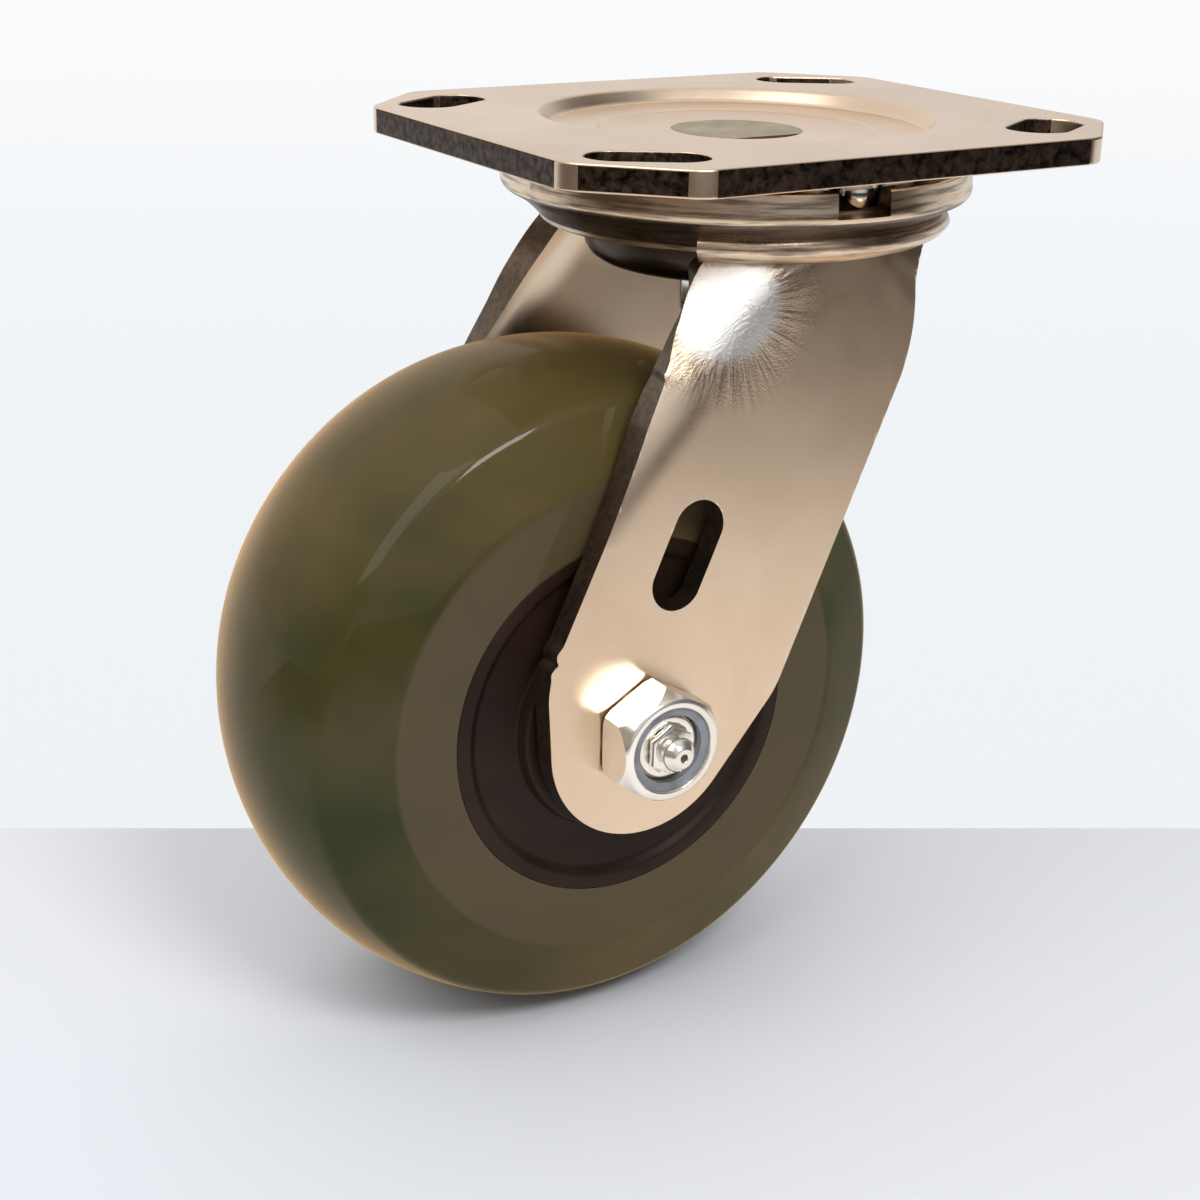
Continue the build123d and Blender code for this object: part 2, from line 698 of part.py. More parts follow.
# Axle bolt: hex head on the far side, bored for grease from the near end
with BuildPart() as axle_bolt:
    with BuildSketch(across(-leg_outer_y)):
        RegularPolygon(axle_head_flats / 2, 6, major_radius=False)
    extrude(amount=-axle_head_height)
    with BuildSketch(across(-leg_outer_y - axle_head_height)):
        Circle(axle_head_flats / 2)
    extrude(amount=axle_head_height, taper=-nut_crown_taper, mode=Mode.INTERSECT)
    with BuildSketch(across(axle_end)):
        Circle(axle_diameter / 2)
    extrude(amount=-axle_end - leg_outer_y)
    chamfer(axle_bolt.faces().sort_by(Axis.Y)[0].edges(), thread_end_chamfer)
    with BuildSketch(across(axle_end)):
        Circle(fitting_thread_diameter / 2 + fitting_fit_gap)
    extrude(amount=-fitting_thread_length - fitting_fit_gap, mode=Mode.SUBTRACT)
    with BuildSketch(across(axle_end)):
        Circle(grease_bore / 2)
    extrude(amount=-axle_end - grease_cross_bore, mode=Mode.SUBTRACT)
    with BuildSketch(Plane.XY.offset(axle_z)):
        with Locations((axle_x, 0)):
            Circle(grease_cross_bore / 2)
    extrude(amount=axle_diameter, both=True, mode=Mode.SUBTRACT)
finish(axle_bolt, "axle_bolt")

# Axle nut: a hex whose corners run out to a round rim, with a lock ring in its recess
with BuildPart() as axle_nut:
    with BuildSketch(across(leg_outer_y)):
        RegularPolygon(nut_flats / 2, 6, major_radius=False, rotation=30)
    extrude(amount=nut_height)
    with BuildSketch(across(nut_face_y)):
        Circle(nut_rim_diameter / 2)
    extrude(amount=-nut_height, taper=-nut_crown_taper, mode=Mode.INTERSECT)
    fillet(axle_nut.faces().sort_by(Axis.Y)[0].edges(), nut_rim_round)
    with BuildSketch(across(nut_recess_y)):
        Circle(nut_recess_diameter / 2)
    extrude(amount=nut_recess_depth, mode=Mode.SUBTRACT)
    with BuildSketch(across(leg_outer_y)):
        Circle(axle_diameter / 2 + nut_thread_gap)
    extrude(amount=nut_height, mode=Mode.SUBTRACT)
finish(axle_nut, "axle_nut")

with BuildPart() as nut_lock_ring:
    with BuildSketch(across(nut_recess_y)):
        Circle(nut_recess_diameter / 2 - nut_thread_gap)
        Circle(axle_diameter / 2 + nut_thread_gap, mode=Mode.SUBTRACT)
    extrude(amount=lock_ring_height)
finish(nut_lock_ring, "nut_lock_ring")
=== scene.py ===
# %% [markdown]
# # A swivel castor with a slotted top plate
#
# The real thing is a pressed steel fork that turns on two rings of balls under a slotted plate, and it
# carries a wide polyurethane wheel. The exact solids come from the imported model. They could be shown
# as they are, but their facets would catch the light, so this file gives each part that shows a smooth
# mesh and a finish of its own. Then it sets the floor, the lamps and the camera. Sizes are in
# millimetres, and each finished mesh is shrunk to metres at the end.

# %% Load the exact model as a fixed frame
import json
import math

import bmesh
import bpy
from mathutils import Matrix, Vector


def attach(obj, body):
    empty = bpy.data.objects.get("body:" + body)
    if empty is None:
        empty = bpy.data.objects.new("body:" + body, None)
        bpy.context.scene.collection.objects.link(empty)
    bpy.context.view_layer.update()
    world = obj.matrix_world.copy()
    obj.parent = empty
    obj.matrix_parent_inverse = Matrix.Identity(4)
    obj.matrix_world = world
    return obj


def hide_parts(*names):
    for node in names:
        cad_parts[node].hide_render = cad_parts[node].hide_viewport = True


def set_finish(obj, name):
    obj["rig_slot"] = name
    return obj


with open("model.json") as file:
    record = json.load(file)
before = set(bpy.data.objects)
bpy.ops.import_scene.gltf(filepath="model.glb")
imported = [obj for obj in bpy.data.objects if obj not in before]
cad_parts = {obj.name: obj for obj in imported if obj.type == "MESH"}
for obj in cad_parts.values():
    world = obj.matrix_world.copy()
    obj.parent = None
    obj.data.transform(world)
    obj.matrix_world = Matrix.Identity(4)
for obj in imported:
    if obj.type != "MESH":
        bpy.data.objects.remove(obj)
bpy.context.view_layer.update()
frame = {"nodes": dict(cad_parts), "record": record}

# %% [markdown]
# ## Places and sizes that several parts share
#
# The wheel and the nut are turned about the axle, which runs along Y. The plate, the crown and the
# lower cup are turned about the swivel axis, which is Z. Every piece could carry its own numbers, but
# parts that touch then drift apart, so the shared ones are written once here.

# %% Axle, legs and plate levels
MM = 0.001
AXLE_X, AXLE_Z = -38.4, -101.6
LEG_OUTER, LEG_THICK = 34.91, 4.76
PLATE_THICK = 4.76
RIM_Z = -7.36
FLOOR_Z = -165.1
axle = Vector((AXLE_X, 0, AXLE_Z))
print("the axle is", AXLE_Z - FLOOR_Z, "mm above the floor")

# %% [markdown]
# ## Small helpers
#
# A turned part is easiest to make the way a lathe does: draw half of its section once, and spin it.
# `section` lays out the points as a wire, and rounds a corner where a radius is given, because a
# real edge is never perfectly sharp and a small round catches the light. `finish_piece` shrinks the
# mesh to metres, turns the faces outwards, smooths it, and ties it to the body that it moves with.
# Where flat faces meet small rounds, it also lets the flat faces lead the shading, so they stay flat.

# %% Finish a mesh and tie it to its body
def finish_piece(bm, name, body, slot, replaces=(), sharp=32.0, merge=0.002, scale=MM, flat_first=False):
    bmesh.ops.remove_doubles(bm, verts=bm.verts, dist=merge)
    bmesh.ops.recalc_face_normals(bm, faces=bm.faces)
    bmesh.ops.scale(bm, vec=(scale, scale, scale), verts=bm.verts)
    mesh = bpy.data.meshes.new(name)
    bm.to_mesh(mesh)
    bm.free()
    mesh.shade_smooth()
    mesh.set_sharp_from_angle(angle=math.radians(sharp))
    piece = bpy.data.objects.new(name, mesh)
    bpy.context.scene.collection.objects.link(piece)
    if flat_first:
        piece.modifiers.new("flat_faces_lead", "WEIGHTED_NORMAL").keep_sharp = True
    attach(piece, body)
    if replaces:
        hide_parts(*replaces)
    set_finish(piece, slot)
    print(name, len(mesh.polygons), "faces")
    return piece


# %% Short names for what most steps do
def everything(bm):
    return bm.verts[:] + bm.edges[:] + bm.faces[:]


def new_verts(result):
    return [g for g in result["geom"] if isinstance(g, bmesh.types.BMVert)]


def rotate(bm, verts, degrees, axis):
    bmesh.ops.rotate(bm, verts=verts, cent=(0, 0, 0), matrix=Matrix.Rotation(math.radians(degrees), 3, axis))


# %% Draw a section as a wire, with rounded corners
def section(bm, points, closed=True):
    """points are (out, along, rounding) from the axis; the wire lies in the XZ plane."""
    verts = [bm.verts.new((p[0], 0, p[1])) for p in points]
    pairs = list(zip(verts, verts[1:] + verts[:1])) if closed else list(zip(verts, verts[1:]))
    for a, b in pairs:
        bm.edges.new((a, b))
    for radius in sorted({p[2] for p in points if p[2]}):
        corners = [v for v, p in zip(verts, points) if p[2] == radius]
        bmesh.ops.bevel(bm, geom=corners, offset=radius, offset_type="OFFSET", segments=4,
                        profile=0.5, affect="VERTICES", material=-1)
    return list(bm.edges)


# %% Spin a section into a turned part
def turn(points, steps=96, about="Z"):
    """Turns a closed section about Z, or about the axle when about is 'axle'."""
    bm = bmesh.new()
    section(bm, points)
    bmesh.ops.spin(bm, geom=everything(bm), cent=(0, 0, 0), axis=(0, 0, 1), dvec=(0, 0, 0), angle=math.tau,
                   steps=steps, use_merge=True, use_duplicate=False)
    if about == "axle":
        lay_on_axle(bm)
    return bm


def lay_on_axle(bm):
    """A part drawn about Z, with its outer end up, is laid along -Y on the axle."""
    rotate(bm, bm.verts, 90, "X")
    bmesh.ops.translate(bm, verts=bm.verts, vec=axle)


# %% Cut one mesh with another
def cut(bm, tool, operation="DIFFERENCE"):
    """Returns bm cut by the closed mesh tool, kept inside it with INTERSECT, or joined with UNION."""
    objects = []
    for source, name in ((bm, "cut_target"), (tool, "cut_tool")):
        bmesh.ops.remove_doubles(source, verts=source.verts, dist=0.002)
        bmesh.ops.recalc_face_normals(source, faces=source.faces)
        mesh = bpy.data.meshes.new(name)
        source.to_mesh(mesh)
        source.free()
        obj = bpy.data.objects.new(name, mesh)
        bpy.context.scene.collection.objects.link(obj)
        objects.append(obj)
    target, cutter = objects
    boolean = target.modifiers.new("cut", "BOOLEAN")
    boolean.operation = operation
    boolean.solver = "EXACT"
    boolean.object = cutter
    bpy.context.view_layer.update()
    result = bpy.data.meshes.new_from_object(target.evaluated_get(bpy.context.evaluated_depsgraph_get()))
    out = bmesh.new()
    out.from_mesh(result)
    for obj in objects:
        mesh = obj.data
        bpy.data.objects.remove(obj)
        bpy.data.meshes.remove(mesh)
    bpy.data.meshes.remove(result)
    return out


# %% Round the sharp edges of a mesh, and mark faces for the finish
def break_edges(bm, size, segments=3, keep=lambda edge: True):
    rims = [e for e in bm.edges if e.is_manifold and e.calc_face_angle(0) > math.radians(60) and keep(e)]
    bmesh.ops.bevel(bm, geom=rims, offset=size, offset_type="OFFSET", segments=segments, profile=0.5,
                    affect="EDGES", clamp_overlap=True, material=-1)


def mark_faces(bm, name, share):
    """Writes a face attribute: the dark edge mark on sheared edges and on the crown's painted shade, the mark
    for the painted reflection streaks round the crown, or the zone of the leg's painted highlight.
    """
    layer = bm.faces.layers.float.get(name) or bm.faces.layers.float.new(name)
    for face in bm.faces:
        face.normal_update()
        face[layer] = float(share(face))
    print(name, "on", sum(1 for face in bm.faces if face[layer] > 0.5), "faces")


# %% [markdown]
# ## The tyre
#
# The tyre is cast polyurethane: a flat band beside the core, a cone, and a crowned tread. A cylinder
# with its edges bevelled would come near, but the tread's crown is one long arc. So its section is
# drawn and spun, and the crown is itself spun from one point, about the centre of the tread's curve.

# %% Tyre section and tyre
TREAD_CROWN = 52.2
WHEEL_RADIUS = 63.5


def tread_arc(half_width=22.9, steps=20):
    bm = bmesh.new()
    centre = Vector((WHEEL_RADIUS - TREAD_CROWN, 0, 0))
    start = bm.verts.new((centre.x + math.sqrt(TREAD_CROWN**2 - half_width**2), 0, half_width))
    half_angle = math.asin(half_width / TREAD_CROWN)
    bmesh.ops.spin(bm, geom=[start], cent=centre, axis=(0, 1, 0), dvec=(0, 0, 0), angle=2 * half_angle,
                   steps=steps, use_duplicate=False)
    points = sorted(((v.co.x, v.co.z) for v in bm.verts), key=lambda p: -p[1])
    bm.free()
    return points


arc = tread_arc()
tyre_section = [(34.12, 27.4, 0), (45.7, 27.4, 1.6)]
TREAD_EDGE = 1.4
tyre_section += [(*arc[0], TREAD_EDGE)] + [(x, z, 0) for x, z in arc[1:-1]] + [(*arc[-1], TREAD_EDGE)]
tyre_section += [(45.7, -27.4, 1.6), (34.12, -27.4, 0)]
tyre = finish_piece(turn(tyre_section, steps=192, about="axle"), "tyre_body", "wheel", "tyre_polyurethane",
                    ["tyre"])

# %% [markdown]
# ## The wheel core
#
# The core is moulded plastic, flush with the tyre at its rim, with a shallow dish and a boss round the
# bearing. It has no spokes or ribs to model, so one turned section makes it, the same on both sides.

# %% Core
half_core = [(15.9, 28.6, 0.3), (21.0, 28.6, 0.5), (21.7, 26.1, 0.4), (30.1, 26.1, 0.5), (31.4, 27.4, 0.4),
             (34.1, 27.4, 0.35)]
core_section = half_core + [(r, -z, rounding) for r, z, rounding in reversed(half_core)]
core = finish_piece(turn(core_section, steps=128, about="axle"), "core_body", "wheel", "core_plastic",
                    ["wheel_core"])

# %% [markdown]
# ## The crown of the fork
#
# The crown is the round bowl that holds the balls. Its rim stands up round them, a bead runs round it,
# and below a narrow waist it tapers to a hem. It could be bent from a disc, as the press does it, but
# a turned section gives the same form with exact sizes. The window in the rim, where the balls were
# put in, and the flat seat of the grease fitting are cut out of the turned shape.

# %% Crown section
UPPER_PITCH, GROOVE = 35.5, 4.02
BALL_Z = -PLATE_THICK + 0.2 - GROOVE
WEB_UNDER = -16.36
HEM_Z = RIM_Z - 11.4


def groove_arc(steps=8):
    """The race under the upper balls, from the shelf to the upright wall, spun from one point."""
    bm = bmesh.new()
    drop = math.degrees(math.asin((BALL_Z + 9.56) / GROOVE))
    start = bm.verts.new((UPPER_PITCH + GROOVE, 0, BALL_Z))
    bmesh.ops.spin(bm, geom=[start], cent=(UPPER_PITCH, 0, BALL_Z), axis=(0, 1, 0), dvec=(0, 0, 0),
                   angle=math.radians(180 - drop), steps=steps, use_duplicate=False)
    points = sorted(((v.co.x, v.co.z) for v in bm.verts), key=lambda p: -p[0])
    bm.free()
    return points


crown_section = [(x, z, 0) for x, z in groove_arc()][::-1] + [
    (39.52, RIM_Z, 0.3), (43.0, RIM_Z, 0.5), (43.2, RIM_Z - 2.5, 0), (43.4, RIM_Z - 4.4, 0.6),
    (42.9, RIM_Z - 5.5, 0.6), (41.2, RIM_Z - 6.4, 0.7), (39.5, RIM_Z - 7.4, 0.8), (37.9, RIM_Z - 8.8, 0.8),
    (36.4, RIM_Z - 10.3, 0.5), (35.8, HEM_Z, 0.25), (30.0, HEM_Z, 0), (30.0, WEB_UNDER, 0),
    (24.2, WEB_UNDER, 0), (21.5, WEB_UNDER + 1.2, 0), (18.8, WEB_UNDER, 0), (10.0, WEB_UNDER, 0.3),
    (10.0, -9.56, 0.3),
]
crown = turn(crown_section, steps=160)
print("crown has", len(crown.faces), "faces before the cuts")

# %% Ball window and the seat of the grease fitting
WINDOW_ANGLE = -94.5
window = bmesh.new()
bmesh.ops.create_cube(window, size=1.0)
bmesh.ops.scale(window, vec=(9.0, 10.4, 8.8), verts=window.verts)
bmesh.ops.translate(window, verts=window.verts, vec=(43.0, 0, RIM_Z))
rotate(window, window.verts, WINDOW_ANGLE, "Z")
crown = cut(crown, window)

FITTING_ANGLE, FITTING_TILT = -8.0, 24.0
swivel_seat = (Matrix.Rotation(math.radians(FITTING_ANGLE), 4, "Z")
               @ Matrix.Translation((41.2, 0, RIM_Z - 7.1))
               @ Matrix.Rotation(math.radians(90 + FITTING_TILT), 4, "Y"))
for depth, middle, operation in ((5.0, 2.5, "DIFFERENCE"), (3.6, -1.8, "UNION")):
    spot = bmesh.new()
    bmesh.ops.create_cone(spot, cap_ends=True, segments=32, radius1=5.0, radius2=5.0, depth=depth)
    bmesh.ops.translate(spot, verts=spot.verts, vec=(0, 0, middle))
    bmesh.ops.transform(spot, matrix=swivel_seat, verts=spot.verts)
    crown = cut(crown, spot, operation)

# %% Mark the window's sheared walls, and the crown's down-facing underside for painted shade
window_way = Vector((math.cos(math.radians(WINDOW_ANGLE)), math.sin(math.radians(WINDOW_ANGLE)), 0))


def crown_share(face):
    middle = face.calc_center_median()
    in_window = middle.xy.dot(window_way.xy) > 39.0 and middle.z > -11.8
    if in_window and abs(face.normal.dot(window_way)) < 0.5 and abs(face.normal.z) < 0.95:
        return 1.0
    # Faces that face down under the rim get most of the near-black edge tone: painted shade under the crown.
    return 0.8 if face.normal.z < -0.6 and middle.z > -18 else 0.0


bmesh.ops.recalc_face_normals(crown, faces=crown.faces)
mark_faces(crown, "dark_edge_and_painted_shade", crown_share)
# Every crown face may take the painted dark reflection streaks.
mark_faces(crown, "spun", lambda f: 1.0)
crown = finish_piece(crown, "crown_bowl", "fork", "plated_steel", ["fork"], sharp=28.0, flat_first=True)

# %% [markdown]
# ## The shoulder band
#
# The legs leave the crown in a rounded band that hugs it, over each leg only. It could be part of the
# leg's mesh, but it follows the crown and not the leg. So it is turned like the crown, then planes cut
# it to length, the open ends are filled, and it is mirrored to the other leg.

# %% Band over each leg
band = turn([(38.6, -15.16, 0), (39.4, -15.86, 0.4), (39.8, -16.7, 0.6), (39.8, -17.9, 0.7),
             (38.6, -19.2, 0.8), (36.6, -20.26, 0.5), (30.0, -20.26, 0), (30.0, -15.16, 0)], steps=160)
for place, normal in (((0, 0, 0), (-0.725, 0.689, 0)), ((28.0, 0, 0), (1, 0, 0)), ((0, -9.0, 0), (0, 1, 0))):
    bmesh.ops.bisect_plane(band, geom=everything(band), plane_co=place, plane_no=normal, clear_outer=True)
    bmesh.ops.holes_fill(band, edges=[e for e in band.edges if e.is_boundary], sides=0)
bmesh.ops.mirror(band, geom=everything(band), axis="Y", merge_dist=0.001)
mark_faces(band, "spun", lambda f: 1.0)
band = finish_piece(band, "shoulder_band", "fork", "plated_steel", sharp=28.0)

# %% [markdown]
# ## The legs
#
# Each leg is thick sheet pressed over a form: flat below, and wrapped round a cone at the top, where it
# leans in under the crown. A cloth or bend modifier could come near, but the press is exact, and
# `pressed` says where it leaves each point. The flat outline is drawn first and sliced into a fine
# grid, so that there are enough points to bend. It gets its thickness, and then every point of the two
# faces moves to the pressed shape. The slot and the axle hole are cut last, through the flat part.

# %% The pressed face: flat, a round, then a cone about the swivel axis
CONE_TOP, CONE_SLOPE = 19.5, 0.87
CORNER_ROUND = 30.0


def pressed(x, z, inner=False):
    """How far the sheet's outer or inner face stands from the middle plane at x and z."""
    half = LEG_OUTER - (LEG_THICK if inner else 0)
    blend = CORNER_ROUND - (LEG_THICK if inner else 0)
    radius = CONE_TOP - CONE_SLOPE * z - (LEG_THICK * math.hypot(1, CONE_SLOPE) if inner else 0)
    across = abs(x)
    if radius > half:
        flat = math.sqrt((radius - blend) ** 2 - (half - blend) ** 2)
        if across <= flat:
            return half
        if across < flat * radius / (radius - blend):
            return half - blend + math.sqrt(blend**2 - (across - flat) ** 2)
    return math.sqrt(max(radius**2 - across**2, 1.0))


# %% The back edge, and how far it turns with the sheet
back_line = [(-21.5, -17.0), (-25.1, -20.0), (-28.2, -24.0), (-30.4, -28.0), (-32.5, -32.0), (-34.8, -38.0),
             (-38.95, -46.0), (-43.3, -55.2)]
turn_line = [(-17.0, 0.85), (-22.0, 0.95), (-27.0, 0.80), (-32.0, 0.52), (-36.5, 0.25), (-41.0, 0.08),
             (-46.0, 0.0)]


def along(line, level, key=0, value=1):
    """Reads a value off a line of points at a level."""
    if level >= line[0][key]:
        return line[0][value]
    for a, b in zip(line, line[1:]):
        if a[key] >= level >= b[key]:
            t = (a[key] - level) / (a[key] - b[key])
            return a[value] + t * (b[value] - a[value])
    return line[-1][value]


# %% Outline of one leg, sliced for bending
LEG_TOP, LEG_FRONT = -18.6, 15.8


def leg_outline(bm):
    """The toe is an arc about the axle, spun from its first point; the corners are bevelled round."""
    toe_radius = 19.6
    start = bm.verts.new((AXLE_X - toe_radius, 0, AXLE_Z))
    reach = Vector((-10.6 - AXLE_X, -99.0 - AXLE_Z))
    tangent = math.atan2(reach.y, reach.x) - math.acos(toe_radius / reach.length)
    spun = bmesh.ops.spin(bm, geom=[start], cent=axle, axis=(0, -1, 0), dvec=(0, 0, 0),
                          angle=math.pi + tangent, steps=44, use_duplicate=False)
    end = spun["geom_last"][0]
    upper = [(along(back_line, LEG_TOP, 1, 0), LEG_TOP)] + back_line[1:-1]
    down = [bm.verts.new((x, 0, z)) for x, z in upper + [(-58.8, -88.0)]]
    up = [bm.verts.new((x, 0, z)) for x, z in ((-10.6, -99.0), (LEG_FRONT, -38.0), (LEG_FRONT, -19.2),
                                               (28.0, -19.2), (28.0, LEG_TOP))]
    for chain in (down + [start], [end] + up + [down[0]]):
        for a, b in zip(chain, chain[1:]):
            bm.edges.new((a, b))
    rounds = [(corner, 24.0, 4) for corner in down[1:-1]]
    rounds += [(down[-1], 16.0, 10), (up[0], 16.0, 10), (up[1], 30.0, 10), (up[2], 8.0, 12)]
    for corner, radius, segments in rounds:
        edges = [e.other_vert(corner).co - corner.co for e in corner.link_edges]
        half = edges[0].angle(edges[1]) / 2
        bmesh.ops.bevel(bm, geom=[corner], offset=radius / math.tan(half), offset_type="OFFSET",
                        segments=segments, profile=0.5, affect="VERTICES", material=-1)


leg = bmesh.new()
leg_outline(leg)
bmesh.ops.edgenet_fill(leg, edges=leg.edges)
levels = [((0, 0, LEG_TOP - 1.0 * n), (0, 0, 1)) for n in range(1, 48)]
levels += [((0, 0, -81.0 - 0.4 * n), (0, 0, 1)) for n in range(0, 19)]
strips = [((-46.0 + 1.4 * n, 0, 0), (1, 0, 0)) for n in range(0, 53)]
for place, normal in levels + strips:
    bmesh.ops.bisect_plane(leg, geom=everything(leg), plane_co=place, plane_no=normal)
print("one flat leg has", len(leg.faces), "faces")

# %% Give it the sheet's thickness, then press it
outer_verts = leg.verts[:]
thick = bmesh.ops.extrude_face_region(leg, geom=leg.faces[:])
inner_verts = set(new_verts(thick))
# The side walls get the dark edge mark: the sheared steel's own dull tone, partly painted dark reflection.
mark_faces(leg, "dark_edge_and_painted_shade", lambda f: 0 < sum(v in inner_verts for v in f.verts) < len(f.verts))
for vert in inner_verts:
    x, z = vert.co.x, vert.co.z
    back = along(back_line, z, 1, 0)
    shift, turned = 0.0, along(turn_line, z)
    for _ in range(8):
        shift = turned * (pressed(back, z) - pressed(back + shift, z, inner=True))
    weight = min(max((LEG_FRONT - x) / (LEG_FRONT - back), 0.0), 1.0)
    vert.co.x = x + weight * shift
    vert.co.y = -pressed(vert.co.x, z, inner=True)
for vert in outer_verts:
    vert.co.y = -pressed(vert.co.x, vert.co.z)
bmesh.ops.recalc_face_normals(leg, faces=leg.faces)
print("the leg leans in to", round(min(-v.co.y for v in outer_verts), 2), "mm at its top")

# %% Slot and axle hole, edges, and the other leg
SLOT_RADIUS, SLOT_HALF_RUN, SLOT_SLANT = 5.1, 5.2, 24
AXLE_HOLE_RADIUS = 6.45
slot_tool = bmesh.new()
bmesh.ops.create_circle(slot_tool, cap_ends=True, segments=48, radius=SLOT_RADIUS)
rotate(slot_tool, slot_tool.verts, 90, "X")
for way in (1, -1):
    half = [v for v in slot_tool.verts if way * v.co.z > 0.01]
    bmesh.ops.translate(slot_tool, verts=half, vec=(0, 0, way * SLOT_HALF_RUN))
rotate(slot_tool, slot_tool.verts, SLOT_SLANT, "Y")
bmesh.ops.translate(slot_tool, verts=slot_tool.verts, vec=(-31.0, -37.0, -69.4))
drill = bmesh.ops.create_circle(slot_tool, cap_ends=True, segments=48, radius=AXLE_HOLE_RADIUS)["verts"]
rotate(slot_tool, drill, 90, "X")
bmesh.ops.translate(slot_tool, verts=drill, vec=(AXLE_X, -37.0, AXLE_Z))
pushed = bmesh.ops.extrude_face_region(slot_tool, geom=slot_tool.faces[:])
bmesh.ops.translate(slot_tool, verts=new_verts(pushed), vec=(0, 10, 0))
leg = cut(leg, slot_tool)
break_edges(leg, 0.45, keep=lambda e: min(v.co.z for v in e.verts) < LEG_TOP - 0.05)
bmesh.ops.recalc_face_normals(leg, faces=leg.faces)
was_marked = leg.faces.layers.float["dark_edge_and_painted_shade"]
# Sheared side walls, and the low sides, keep the dark edge mark: the steel's own dull tone, partly painted
# dark reflection.
mark_faces(leg, "dark_edge_and_painted_shade", lambda f: 0.85 * (f[was_marked] > 0.75 or (f.calc_center_median().z < -47
                                                                       and abs(f.normal.y) < 0.35)))
bmesh.ops.mirror(leg, geom=everything(leg), axis="Y", merge_dist=0.0001)

# %% [markdown]
# ## Nicks
#
# The near leg has been knocked: its back edge has a small burr high up, and a burr with a dent beside
# it lower down. They could be painted as bump, but they break the outline, so they are in the mesh.
# Each is a smooth push along X that dies away up, down and into the sheet. The same step marks the
# leg's outer side, where the finish later paints a highlight.

# %% Nicks in the near leg's back edge
nicks = [(-37.4, 0.45, 0.8), (-83.0, 0.55, 0.9), (-84.9, -0.55, 0.5), (-86.4, 0.35, 0.8)]
edge_line = back_line + [(-57.0, -84.2), (-57.8, -88.0)]
moved = 0
for vert in leg.verts:
    inward = vert.co.x - along(edge_line, vert.co.z, 1, 0)
    near_edge = min(max(1.0 - inward / 2.2, 0.0), 1.0)
    if vert.co.y < 0 and near_edge > 0 and vert.co.z < -35:
        out = sum(size * math.exp(-((vert.co.z - level) / width) ** 2) for level, size, width in nicks)
        vert.co.x -= near_edge * out
        moved += abs(out) > 0.05
print("nicks moved", moved, "points")
# The near leg's outer side is marked for the painted highlight, its painted dark rays, a smoother roughness
# and a stronger grain bump.
mark_faces(leg, "strain_and_painted_highlight", lambda f: f.calc_center_median().y < -10 and f.normal.y < -0.2)
legs = finish_piece(leg, "fork_legs", "fork", "plated_steel", ["fork"], sharp=40.0, flat_first=True)

# %% [markdown]
# ## The top plate
#
# The plate is flat stock with cut corners and four slanted slots, so a wide and a square pattern of
# bolts both fit. A box with five Booleans would make it, but leaves long thin faces. Here its flat part
# is filled round the slots and a round hole, and the pressed dish is a turned strip that shares the
# hole's points, above and below.

# %% Flat part of the plate
plate = bmesh.new()
corners = [plate.verts.new((x * 57.15, y * 50.8, 0)) for x, y in ((-1, -1), (1, -1), (1, 1), (-1, 1))]
for a, b in zip(corners, corners[1:] + corners[:1]):
    plate.edges.new((a, b))
cut_corners = bmesh.ops.bevel(plate, geom=corners, offset=15.9, offset_type="OFFSET", segments=1, profile=0.5,
                              affect="VERTICES", material=-1)["verts"]
bmesh.ops.bevel(plate, geom=cut_corners, offset=6.0 * math.tan(math.radians(22.5)), offset_type="OFFSET",
                segments=8, profile=0.5, affect="VERTICES", material=-1)
for sx in (-1, 1):
    for sy in (-1, 1):
        ring = bmesh.ops.create_circle(plate, segments=40, radius=5.55)["verts"]
        for way in (1, -1):
            bmesh.ops.translate(plate, verts=[v for v in ring if way * v.co.x > 0.01], vec=(way * 4.63, 0, 0))
        rotate(plate, ring, -30.9 * sx * sy, "Z")
        bmesh.ops.translate(plate, verts=ring, vec=(sx * 42.07, sy * 35.72, 0))
DISH_STEPS, DISH_RADIUS = 96, 36.6
bmesh.ops.create_circle(plate, segments=DISH_STEPS, radius=DISH_RADIUS)
bmesh.ops.triangle_fill(plate, use_beauty=True, use_dissolve=False, edges=plate.edges)
bmesh.ops.delete(plate, geom=[f for f in plate.faces if f.calc_center_median().length < 30], context="FACES")
below = bmesh.ops.extrude_face_region(plate, geom=plate.faces[:])
bmesh.ops.translate(plate, verts=new_verts(below), vec=(0, 0, -PLATE_THICK))
print("flat plate has", len(plate.faces), "faces")

# %% Round its edges, then turn the dish
hole_walls = [f for f in plate.faces if all(abs(v.co.xy.length - DISH_RADIUS) < 0.05 for v in f.verts)]
bmesh.ops.delete(plate, geom=hole_walls, context="FACES")
bmesh.ops.recalc_face_normals(plate, faces=plate.faces)
break_edges(plate, 0.5)
print("plate has", len(plate.faces), "faces with its edges rounded")

# %% [markdown]
# The dish is pressed down in two steps, a slope and a shallow step to a round pad, and the same metal
# stands out below as a boss that carries the upper race. Both sides are turned strips with as many
# steps as the hole, so their outer points meet the plate's and merge.

# %% Turn both sides of the dish and join them to the plate
def dish_side(bm, points):
    verts = [bm.verts.new((r, 0, z)) for r, z in points]
    edges = [bm.edges.new((a, b)) for a, b in zip(verts, verts[1:])]
    bmesh.ops.spin(bm, geom=verts + edges, cent=(0, 0, 0), axis=(0, 0, 1), dvec=(0, 0, 0), angle=math.tau,
                   steps=DISH_STEPS, use_merge=True, use_duplicate=False)


